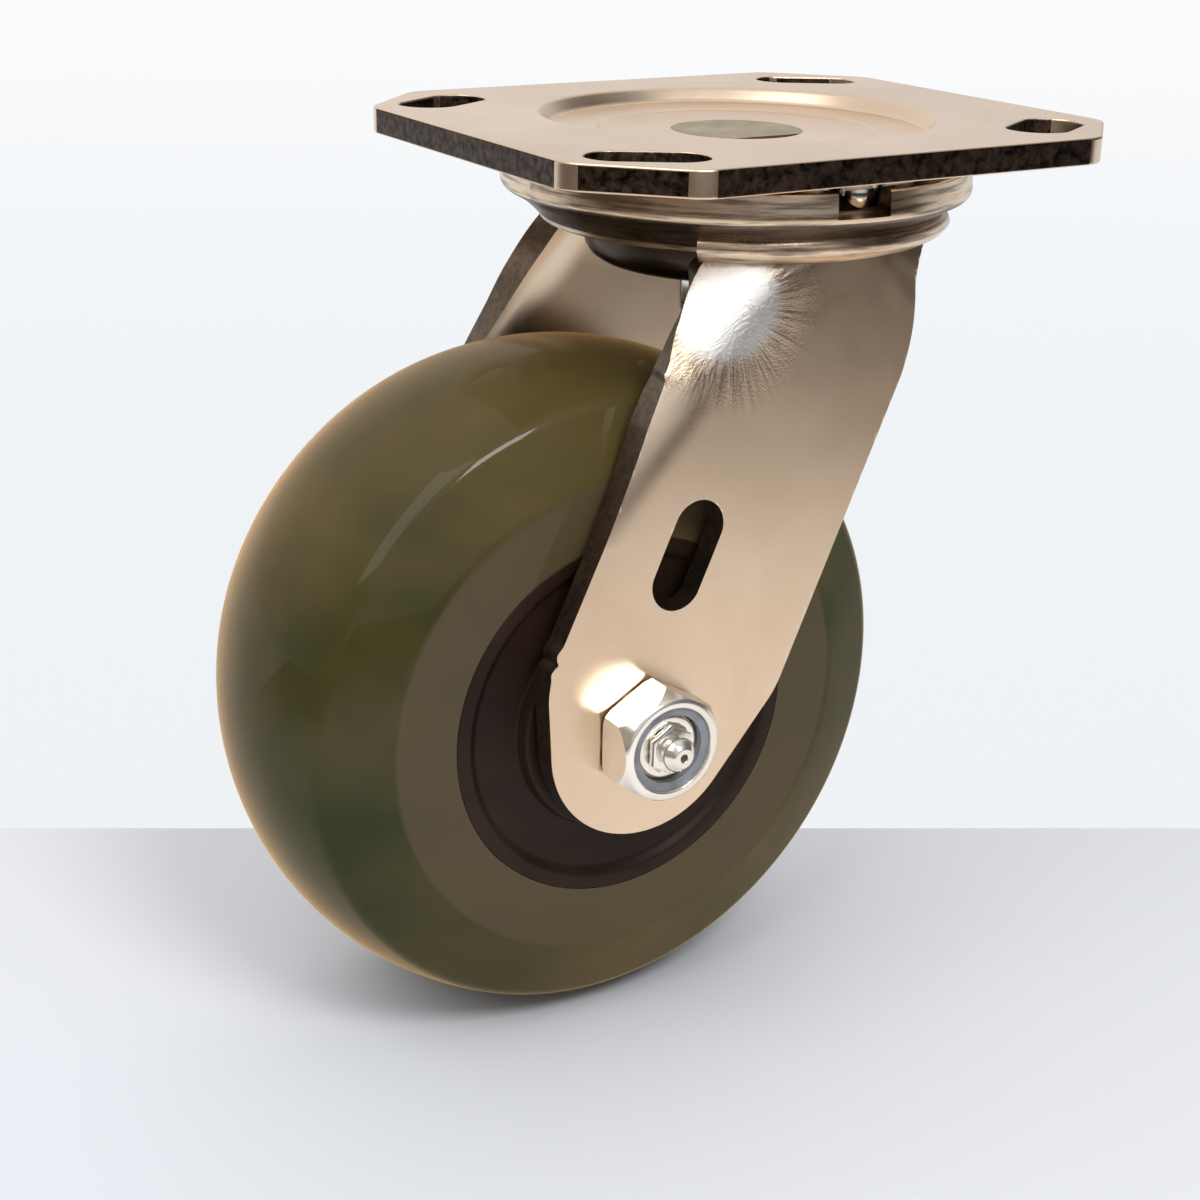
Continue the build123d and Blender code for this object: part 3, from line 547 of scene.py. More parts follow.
HEAD_Z, BOSS_Z = -2.95, -7.36
dish_side(plate, [(DISH_RADIUS, 0), (36.3, -0.12), (35.9, -0.5), (34.9, -1.9), (34.5, -2.42), (34.1, -2.6),
                  (25.8, -2.6), (25.5, -2.66), (25.2, -2.89), (24.9, HEAD_Z), (12.04, HEAD_Z),
                  (12.04, -5.15), (8.03, -5.15)])
dish_side(plate, [(DISH_RADIUS, -PLATE_THICK), (35.5, -PLATE_THICK), (33.6, -5.2), (32.0, -6.1),
                  (31.6, BOSS_Z), (8.03, BOSS_Z), (8.03, -5.15)])


# %% Mark the sheared sides and slot walls for the near-black edge tone, partly painted dark reflection, but not the rounded corners
def plate_share(face):
    out = face.calc_center_median().xy.length
    return abs(face.normal.z) < 0.3 and out > 37.5 and (face.calc_area() > 8 or out < 58)


mark_faces(plate, "dark_edge_and_painted_shade", plate_share)
plate = finish_piece(plate, "plate_stock", "plate", "plated_steel", ["top_plate"], sharp=34.0, merge=0.02,
                     flat_first=True)

# %% [markdown]
# ## The lower race
#
# A thick cup hangs under the crown on the kingpin and holds the lower balls. Its finish is a near-black
# steel tone, and the real one is turned, so it is spun here from its section too.

# %% Cup
cup_section = [(24.2, -17.36, 0.3), (27.8, -17.36, 0.4), (27.8, -26.46, 4.6), (6.38, -26.46, 0.3),
               (6.38, -20.41, 0.2), (19.0, -20.41, 0.3), (21.4, -21.6, 0.5), (24.2, -20.0, 0.3)]
cup = finish_piece(turn(cup_section, steps=96), "lower_cup", "plate", "race_steel", ["lower_race"])

# %% [markdown]
# ## The balls
#
# Balls are bought in, all alike. Each could be placed by a loop, but a spin in steps copies one ball
# round the whole ring at once.

# %% Two rings of balls
def ball_ring(name, node, body, pitch, level, diameter, count):
    bm = bmesh.new()
    bmesh.ops.create_icosphere(bm, subdivisions=4, radius=diameter / 2)
    bmesh.ops.translate(bm, verts=bm.verts, vec=(pitch, 0, level))
    bmesh.ops.spin(bm, geom=everything(bm), cent=(0, 0, 0), axis=(0, 0, 1), dvec=(0, 0, 0),
                   angle=math.tau * (count - 1) / count, steps=count - 1, use_duplicate=True)
    return finish_piece(bm, name, body, "ball_steel", [node])


rings = [ball_ring("upper_ball_set", "upper_balls", "upper_ball_ring", UPPER_PITCH, BALL_Z, 7.94, 24),
         ball_ring("lower_ball_set", "lower_balls", "lower_ball_ring", 21.5, -18.385, 6.35, 20)]

# %% [markdown]
# ## Axle nut
#
# The nut is a hexagon that runs out into a round rim, with a locking ring sunk in its face. It is made
# the way a lathe makes it from hex bar: the bar is a six sided cone with equal ends, and the turned
# shape keeps only what lies inside it.

# %% Nut
def hex_bar(flats, depth):
    bm = bmesh.new()
    radius = flats / 2 / math.cos(math.radians(30))
    bmesh.ops.create_cone(bm, cap_ends=True, segments=6, radius1=radius, radius2=radius, depth=depth)
    bmesh.ops.translate(bm, verts=bm.verts, vec=(0, 0, depth / 2))
    return bm


turned_nut = turn([(6.39, -0.5, 0), (9.0, -0.5, 0), (9.0, 0.4, 0), (10.3, 0.45, 0), (11.2, 1.2, 0),
                   (11.2, 5.3, 0), (9.35, 8.55, 0.5), (7.9, 8.55, 0.35), (7.9, 6.6, 0), (6.39, 6.6, 0)],
                  steps=96)
nut = cut(hex_bar(19.05, 10.0), turned_nut, "INTERSECT")
lay_on_axle(nut)
bmesh.ops.translate(nut, verts=nut.verts, vec=(0, -LEG_OUTER, 0))
nut = finish_piece(nut, "nut_body", "fork", "bright_steel", ["axle_nut"], sharp=24.0, flat_first=True)

# %% [markdown]
# ## Grease fittings
#
# A fitting is a small hexagon with a ball head that a grease gun grips, and a hole in its tip. The two
# differ only in height and seat, so one function makes both: a turned body joined to a short piece of
# hex bar, then placed on its seat.

# %% Fittings
def grease_fitting(name, node, slot, seat, hex_height, neck, head):
    top = hex_height + neck + head
    body = turn([(0.75, 0.2, 0), (2.1, 0.2, 0), (2.1, hex_height + neck - 0.1, 0.2),
                 (3.15, hex_height + neck + head * 0.27, 0.5), (3.15, hex_height + neck + head * 0.5, 0.5),
                 (1.85, top, 0.25), (0.75, top, 0.15)], steps=48)
    hexagon = hex_bar(7.9, hex_height)
    break_edges(hexagon, 0.25, segments=2)
    whole = cut(hexagon, body, "UNION")
    bmesh.ops.transform(whole, matrix=seat, verts=whole.verts)
    return finish_piece(whole, name, "fork", slot, [node], sharp=30.0)


axle_seat = Matrix.Translation((AXLE_X, -41.71, AXLE_Z)) @ Matrix.Rotation(math.radians(90), 4, "X")
fittings = [
    grease_fitting("swivel_fitting", "swivel_grease_fitting", "fitting_brass", swivel_seat, 3.2, 1.6, 3.4),
    grease_fitting("axle_fitting", "axle_grease_fitting", "bright_steel", axle_seat, 1.6, 0.8, 2.9),
]

# %% [markdown]
# ## Small turned and hexagonal parts
#
# The kingpin, the bolt, the washers and the bearing have the right shape already. Their exact meshes
# are loose triangles, so each gets a copy with its points merged, which can be shaded smooth with crisp
# edges and given a finish of its own.

# %% Smooth copies
def smooth_copy(name, node, body, slot, sharp=30.0):
    bm = bmesh.new()
    bm.from_mesh(frame["nodes"][node].data)
    return finish_piece(bm, name, body, slot, [node], sharp=sharp, merge=0.000002, scale=1.0, flat_first=True)


copies = [
    smooth_copy("kingpin_body", "kingpin", "plate", "kingpin_steel"),
    smooth_copy("pin_nut_body", "kingpin_nut", "plate", "bright_steel"),
    smooth_copy("pin_washer_body", "kingpin_washer", "plate", "bright_steel"),
    smooth_copy("axle_bolt_body", "axle_bolt", "fork", "bright_steel"),
    smooth_copy("lock_ring_body", "nut_lock_ring", "fork", "lock_nylon"),
    smooth_copy("sleeve_body", "axle_sleeve", "fork", "bright_steel"),
    smooth_copy("thrust_washer_pair", "thrust_washers", "fork", "bright_steel"),
    smooth_copy("race_body", "bearing_race", "wheel", "bright_steel"),
    smooth_copy("seal_pair", "bearing_seals", "wheel", "seal_rubber"),
    smooth_copy("roller_set_body", "bearing_rollers", "roller_set", "ball_steel"),
    smooth_copy("cage_body", "roller_cage", "roller_set", "bright_steel"),
]

# %% [markdown]
# ## Effects that several finishes share
#
# Real metal and plastic are never one flat colour. Each finish could have its own noise nodes, but
# three small node groups give what they have in common: a slow drift between two tones, a fine grain
# that changes roughness and height, and rings left by a lathe. Each is built once, and each finish
# gives it its own sizes and strengths. The helpers below only make a node, set it and link it.

# %% Node group helper
def new_group(name, inputs, outputs):
    group = bpy.data.node_groups.new(name, "ShaderNodeTree")
    for label, kind, value in inputs:
        socket = group.interface.new_socket(name=label, in_out="INPUT", socket_type=kind)
        socket.default_value = value
    for label, kind in outputs:
        group.interface.new_socket(name=label, in_out="OUTPUT", socket_type=kind)
    return group, group.nodes.new("NodeGroupInput"), group.nodes.new("NodeGroupOutput")


def place_group(tree, group, **values):
    """Puts a group in a material, and sets its inputs by name."""
    node = tree.nodes.new("ShaderNodeGroup")
    node.node_tree = group
    for label, value in values.items():
        node.inputs[label].default_value = value
    return node


# %% Helpers for places and marks
def object_place(tree):
    return tree.nodes.new("ShaderNodeTexCoord").outputs["Object"]


def face_mark(tree, name):
    node = tree.nodes.new("ShaderNodeAttribute")
    node.attribute_name = name
    return node.outputs["Fac"]


def vector_node(tree, operation, vector, fixed=None):
    node = tree.nodes.new("ShaderNodeVectorMath")
    node.operation = operation
    tree.links.new(vector, node.inputs[0])
    if fixed is not None:
        node.inputs[1].default_value = fixed
    return node.outputs["Value" if operation in ("DISTANCE", "DOT_PRODUCT", "LENGTH") else "Vector"]


# %% Helpers for noise, sums and colours
def noise_node(tree, vector, detail, roughness=0.55, scale=1.0, distortion=0.0):
    node = tree.nodes.new("ShaderNodeTexNoise")
    node.inputs["Detail"].default_value = detail
    node.inputs["Roughness"].default_value = roughness
    node.inputs["Distortion"].default_value = distortion
    if isinstance(scale, float):
        node.inputs["Scale"].default_value = scale
    else:
        tree.links.new(scale, node.inputs["Scale"])
    tree.links.new(vector, node.inputs["Vector"])
    return node.outputs["Fac"]


def math_node(tree, operation, a, b=0, clamp=False):
    node = tree.nodes.new("ShaderNodeMath")
    node.operation = operation
    node.use_clamp = clamp
    for socket, value in zip(node.inputs, (a, b)):
        if isinstance(value, (int, float)):
            socket.default_value = value
        else:
            tree.links.new(value, socket)
    return node.outputs[0]


def product(tree, first, *others):
    for value in others:
        first = math_node(tree, "MULTIPLY", first, value)
    return first


def steepen(tree, value, middle, gain, level):
    """Stretches a value about its middle, and clamps it from 0 to 1."""
    stretched = product(tree, math_node(tree, "SUBTRACT", value, middle), gain)
    return math_node(tree, "ADD", stretched, level, clamp=True)


def mix_colors(tree, factor, a, b):
    node = tree.nodes.new("ShaderNodeMix")
    node.data_type = "RGBA"
    for socket, value in ((node.inputs["Factor"], factor), (node.inputs["A"], a), (node.inputs["B"], b)):
        if isinstance(value, tuple):
            socket.default_value = (*value, 1)
        elif isinstance(value, (int, float)):
            socket.default_value = value
        else:
            tree.links.new(value, socket)
    return node.outputs["Result"]


def ramp_between(tree, value, start, end, kind="SMOOTHSTEP"):
    """Goes from 0 at start to 1 at end, where start may be the larger."""
    node = tree.nodes.new("ShaderNodeMapRange")
    node.interpolation_type = kind
    node.inputs["From Min"].default_value = start
    node.inputs["From Max"].default_value = end
    tree.links.new(value, node.inputs["Value"])
    return node.outputs["Result"]


# %% Tone drift: two tones that change slowly into each other
tone_drift, given, out = new_group(
    "tone_drift",
    [("Light", "NodeSocketColor", (0.8, 0.8, 0.8, 1)), ("Dark", "NodeSocketColor", (0.3, 0.3, 0.3, 1)),
     ("Scale", "NodeSocketFloat", 30.0), ("Sharpness", "NodeSocketFloat", 3.0)],
    [("Color", "NodeSocketColor")])
drift = noise_node(tone_drift, object_place(tone_drift), 4.0, scale=given.outputs["Scale"], distortion=0.4)
share = steepen(tone_drift, drift, 0.5, given.outputs["Sharpness"], 0.5)
tone_drift.links.new(mix_colors(tone_drift, share, given.outputs["Dark"], given.outputs["Light"]),
                     out.inputs["Color"])
print("tone_drift has", len(tone_drift.nodes), "nodes")

# %% Fine grain: a small-scale unevenness for roughness and height
fine_grain, given, out = new_group(
    "fine_grain",
    [("Scale", "NodeSocketFloat", 2500.0), ("Roughness", "NodeSocketFloat", 0.3),
     ("Spread", "NodeSocketFloat", 0.1)],
    [("Roughness", "NodeSocketFloat"), ("Height", "NodeSocketFloat")])
place = object_place(fine_grain)
small = noise_node(fine_grain, place, 5.0, roughness=0.7, scale=given.outputs["Scale"])
wide = noise_node(fine_grain, place, 3.0, scale=product(fine_grain, given.outputs["Scale"], 0.06))
both = math_node(fine_grain, "SUBTRACT", math_node(fine_grain, "ADD", small, wide), 1.0)
spread = product(fine_grain, both, product(fine_grain, given.outputs["Spread"], 2.0))
fine_grain.links.new(math_node(fine_grain, "ADD", spread, given.outputs["Roughness"], clamp=True),
                     out.inputs["Roughness"])
fine_grain.links.new(small, out.inputs["Height"])
print("fine_grain has", len(fine_grain.nodes), "nodes")

# %% Turned rings: the fine circles that a lathe leaves round an axis
turned_rings, given, out = new_group(
    "turned_rings",
    [("Centre", "NodeSocketVector", (0, 0, 0)), ("Turn", "NodeSocketVector", (0, 0, 0)),
     ("Scale", "NodeSocketFloat", 900.0)],
    [("Height", "NodeSocketFloat")])
centred = turned_rings.nodes.new("ShaderNodeMapping")
centred.vector_type = "TEXTURE"
turned_rings.links.new(object_place(turned_rings), centred.inputs["Vector"])
turned_rings.links.new(given.outputs["Centre"], centred.inputs["Location"])
turned_rings.links.new(given.outputs["Turn"], centred.inputs["Rotation"])
waves = turned_rings.nodes.new("ShaderNodeTexWave")
waves.wave_type = "RINGS"
waves.rings_direction = "Z"
waves.inputs["Distortion"].default_value = 1.2
waves.inputs["Detail"].default_value = 3.0
turned_rings.links.new(centred.outputs["Vector"], waves.inputs["Vector"])
turned_rings.links.new(given.outputs["Scale"], waves.inputs["Scale"])
turned_rings.links.new(waves.outputs["Fac"], out.inputs["Height"])
print("turned_rings has", len(turned_rings.nodes), "nodes")


# %% [markdown]
# ## Finishes
#
# A finish is one material. It could be a plain colour and a roughness, but then light shows nothing
# on it. So each has two tones, a grain and a slight bump, fed by the groups, and the shader itself
# stays in the material. `finish` makes that common part, and the finishes that need more add to it.
# Its nodes are named tone, grain and bump, so that a later cell can find them.

# %% A material with a drift, a grain and a bump
finishes = {}


def finish(name, light, dark, metallic, roughness, spread=0.06, drift=30.0, sharpness=3.0, grain=2500.0,
           bump=0.08, bump_distance=0.00005, **fixed):
    material = bpy.data.materials.new(name)
    material.use_nodes = True
    tree = material.node_tree
    shader = tree.nodes["Principled BSDF"]
    shader.inputs["Metallic"].default_value = metallic
    for label, value in fixed.items():
        shader.inputs[label.replace("_", " ")].default_value = value
    tone = place_group(tree, tone_drift, Light=(*light, 1), Dark=(*dark, 1), Scale=drift, Sharpness=sharpness)
    tree.links.new(tone.outputs["Color"], shader.inputs["Base Color"])
    texture = place_group(tree, fine_grain, Scale=grain, Roughness=roughness, Spread=spread)
    tree.links.new(texture.outputs["Roughness"], shader.inputs["Roughness"])
    bumped = tree.nodes.new("ShaderNodeBump")
    bumped.inputs["Strength"].default_value = bump
    bumped.inputs["Distance"].default_value = bump_distance
    tree.links.new(texture.outputs["Height"], bumped.inputs["Height"])
    tree.links.new(bumped.outputs["Normal"], shader.inputs["Normal"])
    tone.name, texture.name, bumped.name = "tone", "grain", "bump"
    finishes[name] = material
    print("finish", name, "metallic", metallic, "roughness", roughness)
    return tree


# %% [markdown]
# ## Plated sheet steel
#
# The plate and the fork are zinc plated, a warm bright metal that was never polished. Three marks change
# the sheet's colour from place to place, and one material makes them all, because it is one sheet and the
# places run into each other. Where a press sheared it, the steel is near-black: partly its own dull tone,
# partly painted dark reflection, and the crown's underside takes the same tone as painted shade. Round
# the crown, dark streaks are painted reflections. At the near leg's shoulder a white spot is a painted
# highlight, with dark rays round it, partly the stretched plating's grain and partly painted shade, and
# the metal there is smoother. The meshes carry a mark for each, and the finish reads the marks.

# %% Sheet, and the near-black tone of its torn edges and painted shade
tree = finish("plated_steel", (0.84, 0.67, 0.51), (0.72, 0.56, 0.41), 1.0, 0.30, spread=0.05, drift=22.0,
              grain=2600.0, bump=0.45, bump_distance=0.00001)
sheet, grain, bumped = tree.nodes["tone"].outputs["Color"], tree.nodes["grain"], tree.nodes["bump"]
shader = tree.nodes["Principled BSDF"]
# The near-black tone: the sheared steel's own dull tone, painted dark reflection on the edges, and painted
# shade under the crown.
dark_edge_and_shade_mask = face_mark(tree, "dark_edge_and_painted_shade")
dark_edge_and_shade_tone = place_group(tree, tone_drift, Light=(0.11, 0.075, 0.055, 1), Dark=(0.009, 0.006, 0.005, 1),
                   Scale=700.0, Sharpness=3.0)
print("torn edges drift at", dark_edge_and_shade_tone.inputs["Scale"].default_value)

# %% Painted dark reflection streaks round the crown: a noise that is long round the axis and short along it
place = object_place(tree)
apart = tree.nodes.new("ShaderNodeSeparateXYZ")
tree.links.new(place, apart.inputs["Vector"])
round_axis = tree.nodes.new("ShaderNodeCombineXYZ")
turned_by = math_node(tree, "ARCTAN2", apart.outputs["Y"], apart.outputs["X"])
tree.links.new(product(tree, turned_by, 2.4), round_axis.inputs["X"])
tree.links.new(product(tree, apart.outputs["Z"], 950.0), round_axis.inputs["Z"])
painted_streak = steepen(tree, noise_node(tree, round_axis.outputs["Vector"], 4.0, roughness=0.6), 0.52, 7.0, 0.5)
sheet_with_painted_reflections = mix_colors(tree, product(tree, painted_streak, face_mark(tree, "spun"), 0.8), sheet, (0.16, 0.11, 0.075))
print("the sheet has", len(tree.nodes), "nodes with its streaks")

# %% [markdown]
# The painted highlight is measured from a point on the shoulder. Near it the colour is painted white
# and the metal is smooth. Round it a noise is read along the direction from that point, and not at the
# place itself, so that it makes rays, painted dark as shade at the highlight's grainy edge. Both fade
# with distance, and the mark keeps them to the leg's outer side.

# %% Painted highlight and painted dark rays at the near leg's shoulder
HIGHLIGHT_SPOT = (-0.0235, -0.0345, -0.0265)
from_spot = vector_node(tree, "DISTANCE", place, HIGHLIGHT_SPOT)
strain_and_painted_highlight = product(tree, ramp_between(tree, from_spot, 0.021, 0.009), face_mark(tree, "strain_and_painted_highlight"))
bright = product(tree, ramp_between(tree, from_spot, 0.012, 0.007), strain_and_painted_highlight)
outward = vector_node(tree, "NORMALIZE", vector_node(tree, "SUBTRACT", place, HIGHLIGHT_SPOT))
grain_and_painted_rays = steepen(tree, noise_node(tree, outward, 5.0, roughness=0.75, scale=19.0), 0.50, 7.0, 0.3)
ring = product(tree, strain_and_painted_highlight, math_node(tree, "SUBTRACT", 1.0, bright))
sheet_with_painted_light = mix_colors(tree, bright, sheet_with_painted_reflections, (0.97, 0.95, 0.92))
sheet_with_painted_light = mix_colors(tree, product(tree, ring, grain_and_painted_rays, 0.92), sheet_with_painted_light, (0.12, 0.09, 0.07))
print("the spot is", round(Vector(HIGHLIGHT_SPOT).length / MM), "mm from the origin")

# %% Colour, height and roughness of the sheet
# Where the dark edge mark is set, the colour turns near-black: partly the sheared steel's own tone, partly
# painted reflection and painted shade.
tree.links.new(mix_colors(tree, dark_edge_and_shade_mask, sheet_with_painted_light, dark_edge_and_shade_tone.outputs["Color"]), shader.inputs["Base Color"])
lift = math_node(tree, "ADD", product(tree, strain_and_painted_highlight, 30.0), 1.0)
tree.links.new(product(tree, grain.outputs["Height"], lift), bumped.inputs["Height"])
rougher = math_node(tree, "SUBTRACT", product(tree, dark_edge_and_shade_mask, 0.13), product(tree, strain_and_painted_highlight, 0.10))
tree.links.new(math_node(tree, "ADD", grain.outputs["Roughness"], rougher, clamp=True),
               shader.inputs["Roughness"])
print("the sheet has", len(tree.nodes), "nodes in all")

# %% [markdown]
# ## Turned steel, other metals, plastic and rubber
#
# The kingpin and the cup came off a lathe, and the nut, the bolt and the balls are smoother and
# whiter than the sheet. The kingpin and the cup could be given an anisotropic shader, but the lathe's
# rings are wide enough to see, so a ring height is added to their grain. The rest need only their own
# tones and sizes.

# %% Turned steel: the kingpin and the cup
turned_steel = [
    # The kingpin's olive tone is a painted reflection: the olive that its head shows in the dish.
    (finish("kingpin_steel", (0.46, 0.39, 0.24), (0.30, 0.25, 0.15), 1.0, 0.42, drift=160.0, grain=3000.0,
            bump=0.1), 0.25),
    (finish("race_steel", (0.10, 0.075, 0.055), (0.045, 0.034, 0.028), 1.0, 0.34, drift=60.0, grain=2500.0,
            bump=0.1), 0.3),
]
for tree, strength in turned_steel:
    ring_height = product(tree, place_group(tree, turned_rings).outputs["Height"], strength)
    tree.links.new(math_node(tree, "ADD", tree.nodes["grain"].outputs["Height"], ring_height),
                   tree.nodes["bump"].inputs["Height"])

# %% Other metals
finish("bright_steel", (0.93, 0.90, 0.84), (0.80, 0.75, 0.67), 0.85, 0.16, spread=0.06, drift=120.0,
       grain=3000.0, bump=0.08)
finish("ball_steel", (0.78, 0.77, 0.76), (0.66, 0.64, 0.62), 1.0, 0.1, spread=0.03, drift=300.0,
       grain=4000.0, bump=0.02)
finish("fitting_brass", (0.80, 0.56, 0.24), (0.58, 0.36, 0.13), 1.0, 0.24, spread=0.08, drift=260.0,
       grain=3500.0, bump=0.1)

# %% Plastics and rubber
finish("core_plastic", (0.026, 0.013, 0.007), (0.014, 0.007, 0.004), 0.0, 0.46, spread=0.08, drift=45.0,
       grain=1400.0, bump=0.12, Specular_IOR_Level=0.16)
finish("lock_nylon", (0.27, 0.29, 0.32), (0.17, 0.17, 0.18), 0.0, 0.38, drift=200.0, grain=2000.0)
finish("seal_rubber", (0.03, 0.028, 0.026), (0.016, 0.015, 0.014), 0.0, 0.62, drift=90.0, grain=1800.0)

# %% [markdown]
# ## Cast polyurethane
#
# The tyre is a dark olive with cloudy tones and a smooth skin, and the flat band beside the core is
# duller and browner. It could be a translucent shader, but the cast is too dark for light to pass
# through. So it is a plain body with little reflection of its own, a thin hard coat for the narrow
# highlights, and a sheen for the warm rim of light that it shows at a low angle. The band is found by
# its distance from the axle, so it turns with the wheel.

# %% Tyre
tree = finish("tyre_polyurethane", (0.104, 0.074, 0.025), (0.022, 0.029, 0.007), 0.0, 0.34, spread=0.08,
              drift=11.0, sharpness=3.6, grain=900.0, bump=0.05, Specular_IOR_Level=0.04, Coat_Weight=0.09,
              Coat_IOR=2.3, Coat_Roughness=0.04, Sheen_Weight=1.0, Sheen_Roughness=0.28,
              Sheen_Tint=(1.0, 0.60, 0.25, 1))
across_axle = vector_node(tree, "MULTIPLY", object_place(tree), (1, 0, 1))
from_axle = vector_node(tree, "DISTANCE", across_axle, (AXLE_X * MM, 0, AXLE_Z * MM))
in_band = ramp_between(tree, from_axle, 0.0459, 0.0452, kind="LINEAR")
tree.links.new(mix_colors(tree, product(tree, in_band, 0.75), tree.nodes["tone"].outputs["Color"],
                          (0.090, 0.066, 0.035)), tree.nodes["Principled BSDF"].inputs["Base Color"])

# %% Give every solid and every new piece its finish
slots = {entry["node"]: entry["material_slot"] for entry in frame["record"]["subparts"]}
for node, obj in frame["nodes"].items():
    obj.data.materials.clear()
    obj.data.materials.append(finishes[slots[node]])
for piece in (tyre, core, crown, band, legs, plate, cup, nut, *rings, *fittings, *copies):
    piece.data.materials.append(finishes[piece["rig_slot"]])
print(len(finishes), "finishes on", len(frame["nodes"]), "solids and their pieces")

# %% [markdown]
# ## Floor
#
# The object stands on a pale floor that takes its shadow. A curved backdrop could stand behind it, but
# here the floor itself turns into one: behind a line it shines for the camera and in reflections, and
# lights nothing. In front of the line it is plain paint. In reflections the paint is warmer, and dim
# far off, as the floor of a dark room is beyond the lamps.

# %% Floor
floor_bm = bmesh.new()
bmesh.ops.create_grid(floor_bm, x_segments=2, y_segments=2, size=6.0)
floor_mesh = bpy.data.meshes.new("floor")
floor_bm.to_mesh(floor_mesh)
floor_bm.free()
floor = bpy.data.objects.new("floor", floor_mesh)
bpy.context.scene.collection.objects.link(floor)
floor.location.z = FLOOR_Z * MM
print("the floor lies at", FLOOR_Z, "mm")

# %% Floor paint, and the backdrop behind a line
BACKDROP_WAY, BACKDROP_START = (0.48702, 0.87339, 0), 0.0344
floor_paint = bpy.data.materials.new("floor_paint")
floor_paint.use_nodes = True
tree = floor_paint.node_tree
shader = tree.nodes["Principled BSDF"]
shader.inputs["Roughness"].default_value = 0.9
shader.inputs["Specular IOR Level"].default_value = 0.1
path = tree.nodes.new("ShaderNodeLightPath").outputs
place = object_place(tree)
depth = vector_node(tree, "DOT_PRODUCT", place, BACKDROP_WAY)
behind = math_node(tree, "GREATER_THAN", depth, BACKDROP_START)
seen = math_node(tree, "MAXIMUM", path["Is Camera Ray"],
                 math_node(tree, "MAXIMUM", path["Is Glossy Ray"], path["Is Transmission Ray"]))
glow = tree.nodes.new("ShaderNodeEmission")
tree.links.new(mix_colors(tree, ramp_between(tree, depth, -0.2, 1.8), (0.855, 0.888, 0.913),
                          (0.956, 0.965, 0.982)), glow.inputs["Color"])
far_off = ramp_between(tree, vector_node(tree, "LENGTH", place), 0.15, 0.60)
paint = mix_colors(tree, path["Is Glossy Ray"], (0.74, 0.765, 0.815), (0.92, 0.90, 0.88))
paint = mix_colors(tree, product(tree, far_off, path["Is Glossy Ray"]), paint, (0.06, 0.045, 0.035))
tree.links.new(paint, shader.inputs["Base Color"])
blend = tree.nodes.new("ShaderNodeMixShader")
tree.links.new(product(tree, behind, seen), blend.inputs["Fac"])
tree.links.new(shader.outputs["BSDF"], blend.inputs[1])
tree.links.new(glow.outputs["Emission"], blend.inputs[2])
tree.links.new(blend.outputs["Shader"], tree.nodes["Material Output"].inputs["Surface"])
floor.data.materials.append(floor_paint)
print("the backdrop starts", round(BACKDROP_START / MM, 1), "mm behind the swivel axis")

# %% [markdown]
# ## Room
#
# Bright metal shows the room more than itself, so the room has a shape: a soft grey, lighter overhead
# at the back, dark low at the right and dim at the left, as a studio is beside its soft boxes. It could
# be a photographed sky, but three soft patches do the same and can be moved. The camera itself sees
# one plain pale tone.

# %% World
world = bpy.data.worlds.new("studio")
bpy.context.scene.world = world
world.use_nodes = True
tree = world.node_tree
background = tree.nodes["Background"]
way = tree.nodes.new("ShaderNodeTexCoord").outputs["Generated"]
room = (0.90, 0.92, 0.95)
patches = [((0.15, 0.60, 0.78), 0.45, 0.90, (1.36, 1.32, 1.30)),
           ((0.90, -0.42, 0.12), 0.50, 0.92, (0.06, 0.045, 0.035)),
           ((-0.95, -0.25, 0.05), 0.60, 0.95, (0.34, 0.25, 0.18))]
for direction, start, end, tone in patches:
    facing = vector_node(tree, "DOT_PRODUCT", way, Vector(direction).normalized())
    room = mix_colors(tree, ramp_between(tree, facing, start, end), room, tone)
camera_sees = tree.nodes.new("ShaderNodeLightPath").outputs["Is Camera Ray"]
tree.links.new(mix_colors(tree, camera_sees, room, (1.36, 1.39, 1.42)), background.inputs["Color"])
background.inputs["Strength"].default_value = 0.68
print("the room has", len(patches), "patches")

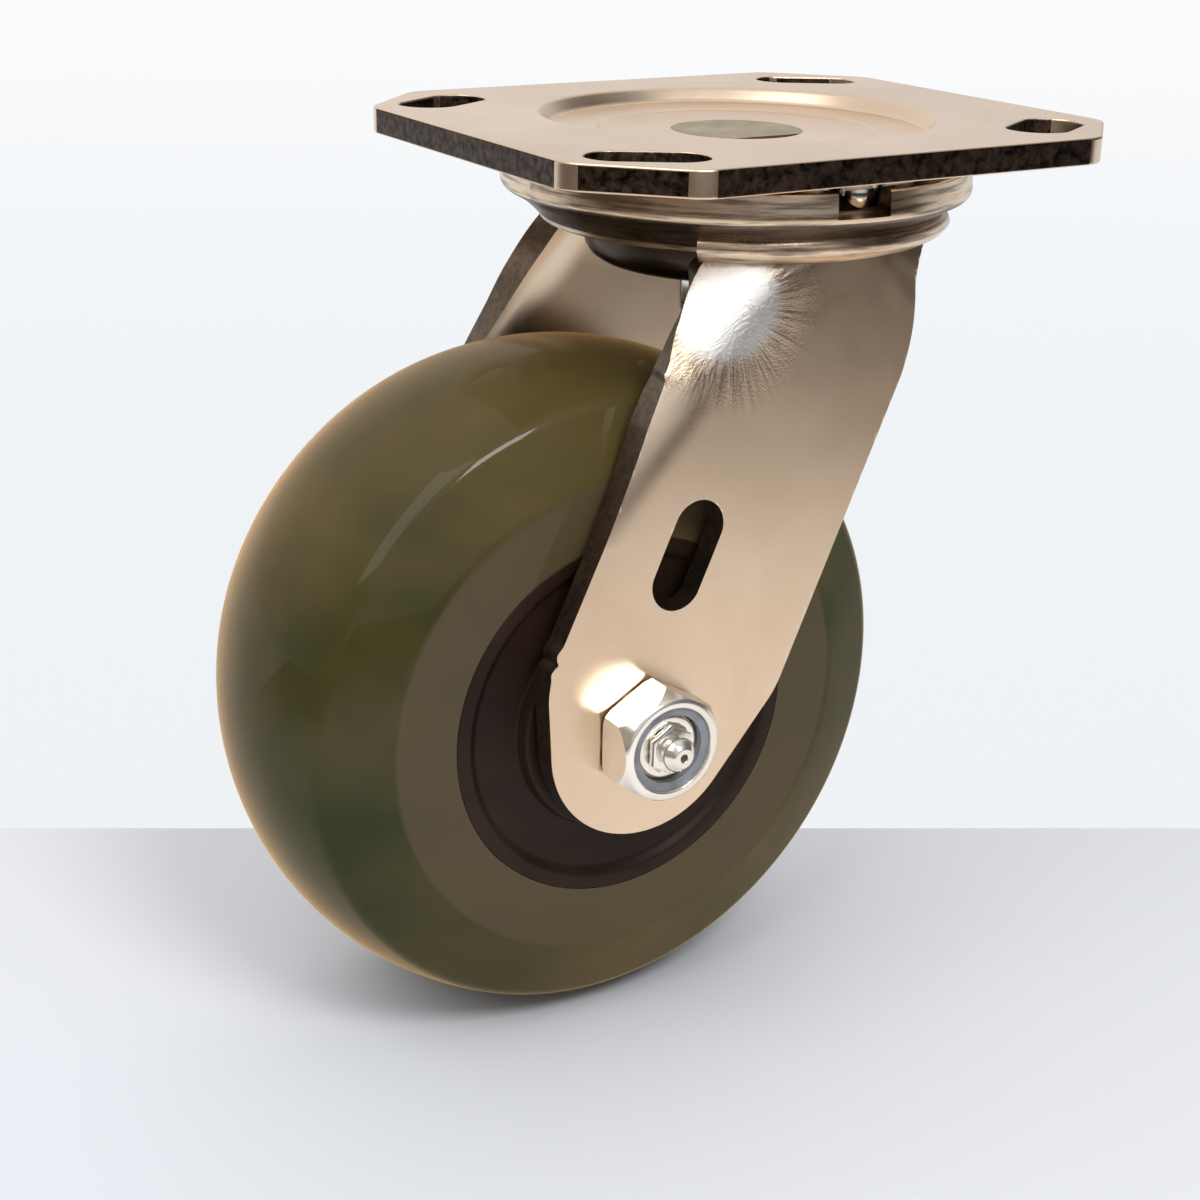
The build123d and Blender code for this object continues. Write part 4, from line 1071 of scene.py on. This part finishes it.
# %% [markdown]
# ## Lamps
#
# Two soft boxes light the object: a wide one up at the left, which gives the floor its shadow, and a
# small one in front, which stands where the leg's shoulder and the nut's face throw it at the camera.
# Small hard lamps would be simpler, but plated metal then shows points and not broad soft lights.

# %% Lamps
def soft_lamp(name, place, target, size, power):
    data = bpy.data.lights.new(name, "AREA")
    data.shape = "RECTANGLE"
    data.size, data.size_y = size
    data.energy = power
    lamp = bpy.data.objects.new(name, data)
    bpy.context.scene.collection.objects.link(lamp)
    lamp.location = place
    lamp.rotation_euler = (Vector(target) - Vector(place)).to_track_quat("-Z", "Y").to_euler()
    print(name, "gives", power, "W")


soft_lamp("overhead", (-0.85, -0.25, 0.95), (-0.03, 0, -0.08), (1.0, 1.0), 6.5)
soft_lamp("strip", (-0.06, -0.72, 0.64), (-0.01, -0.03, -0.03), (0.34, 0.28), 4.4)

# %% [markdown]
# ## Camera
#
# The camera stands where the photograph's perspective puts it, and is tilted by a degree. It could be
# aimed by a constraint, but its place and its lens were worked out together from the plate and the
# wheel, so its three directions are written out from two angles and a roll.

# %% Camera
AZIMUTH, ELEVATION, ROLL = (math.radians(v) for v in (-31.54, 21.40, 1.13))
DISTANCE = 382.73
right = Vector((math.cos(AZIMUTH), math.sin(AZIMUTH), 0))
up = Vector((-math.sin(AZIMUTH) * math.sin(ELEVATION), math.cos(AZIMUTH) * math.sin(ELEVATION),
             math.cos(ELEVATION)))
back = right.cross(up)
right, up = math.cos(ROLL) * right + math.sin(ROLL) * up, math.cos(ROLL) * up - math.sin(ROLL) * right
camera_data = bpy.data.cameras.new("camera")
camera_data.sensor_width = 36.0
camera_data.lens = 59.71
camera_data.clip_start = 0.01
camera = bpy.data.objects.new("camera", camera_data)
bpy.context.scene.collection.objects.link(camera)
pose = Matrix((right, up, back)).transposed().to_4x4()
pose.translation = Vector((-27.34, 0, -90.39)) * MM + back * DISTANCE * MM
camera.matrix_world = pose
bpy.context.scene.camera = camera
bpy.context.scene.view_settings.view_transform = "Standard"
print("the camera stands at", [round(v / MM, 1) for v in pose.translation])
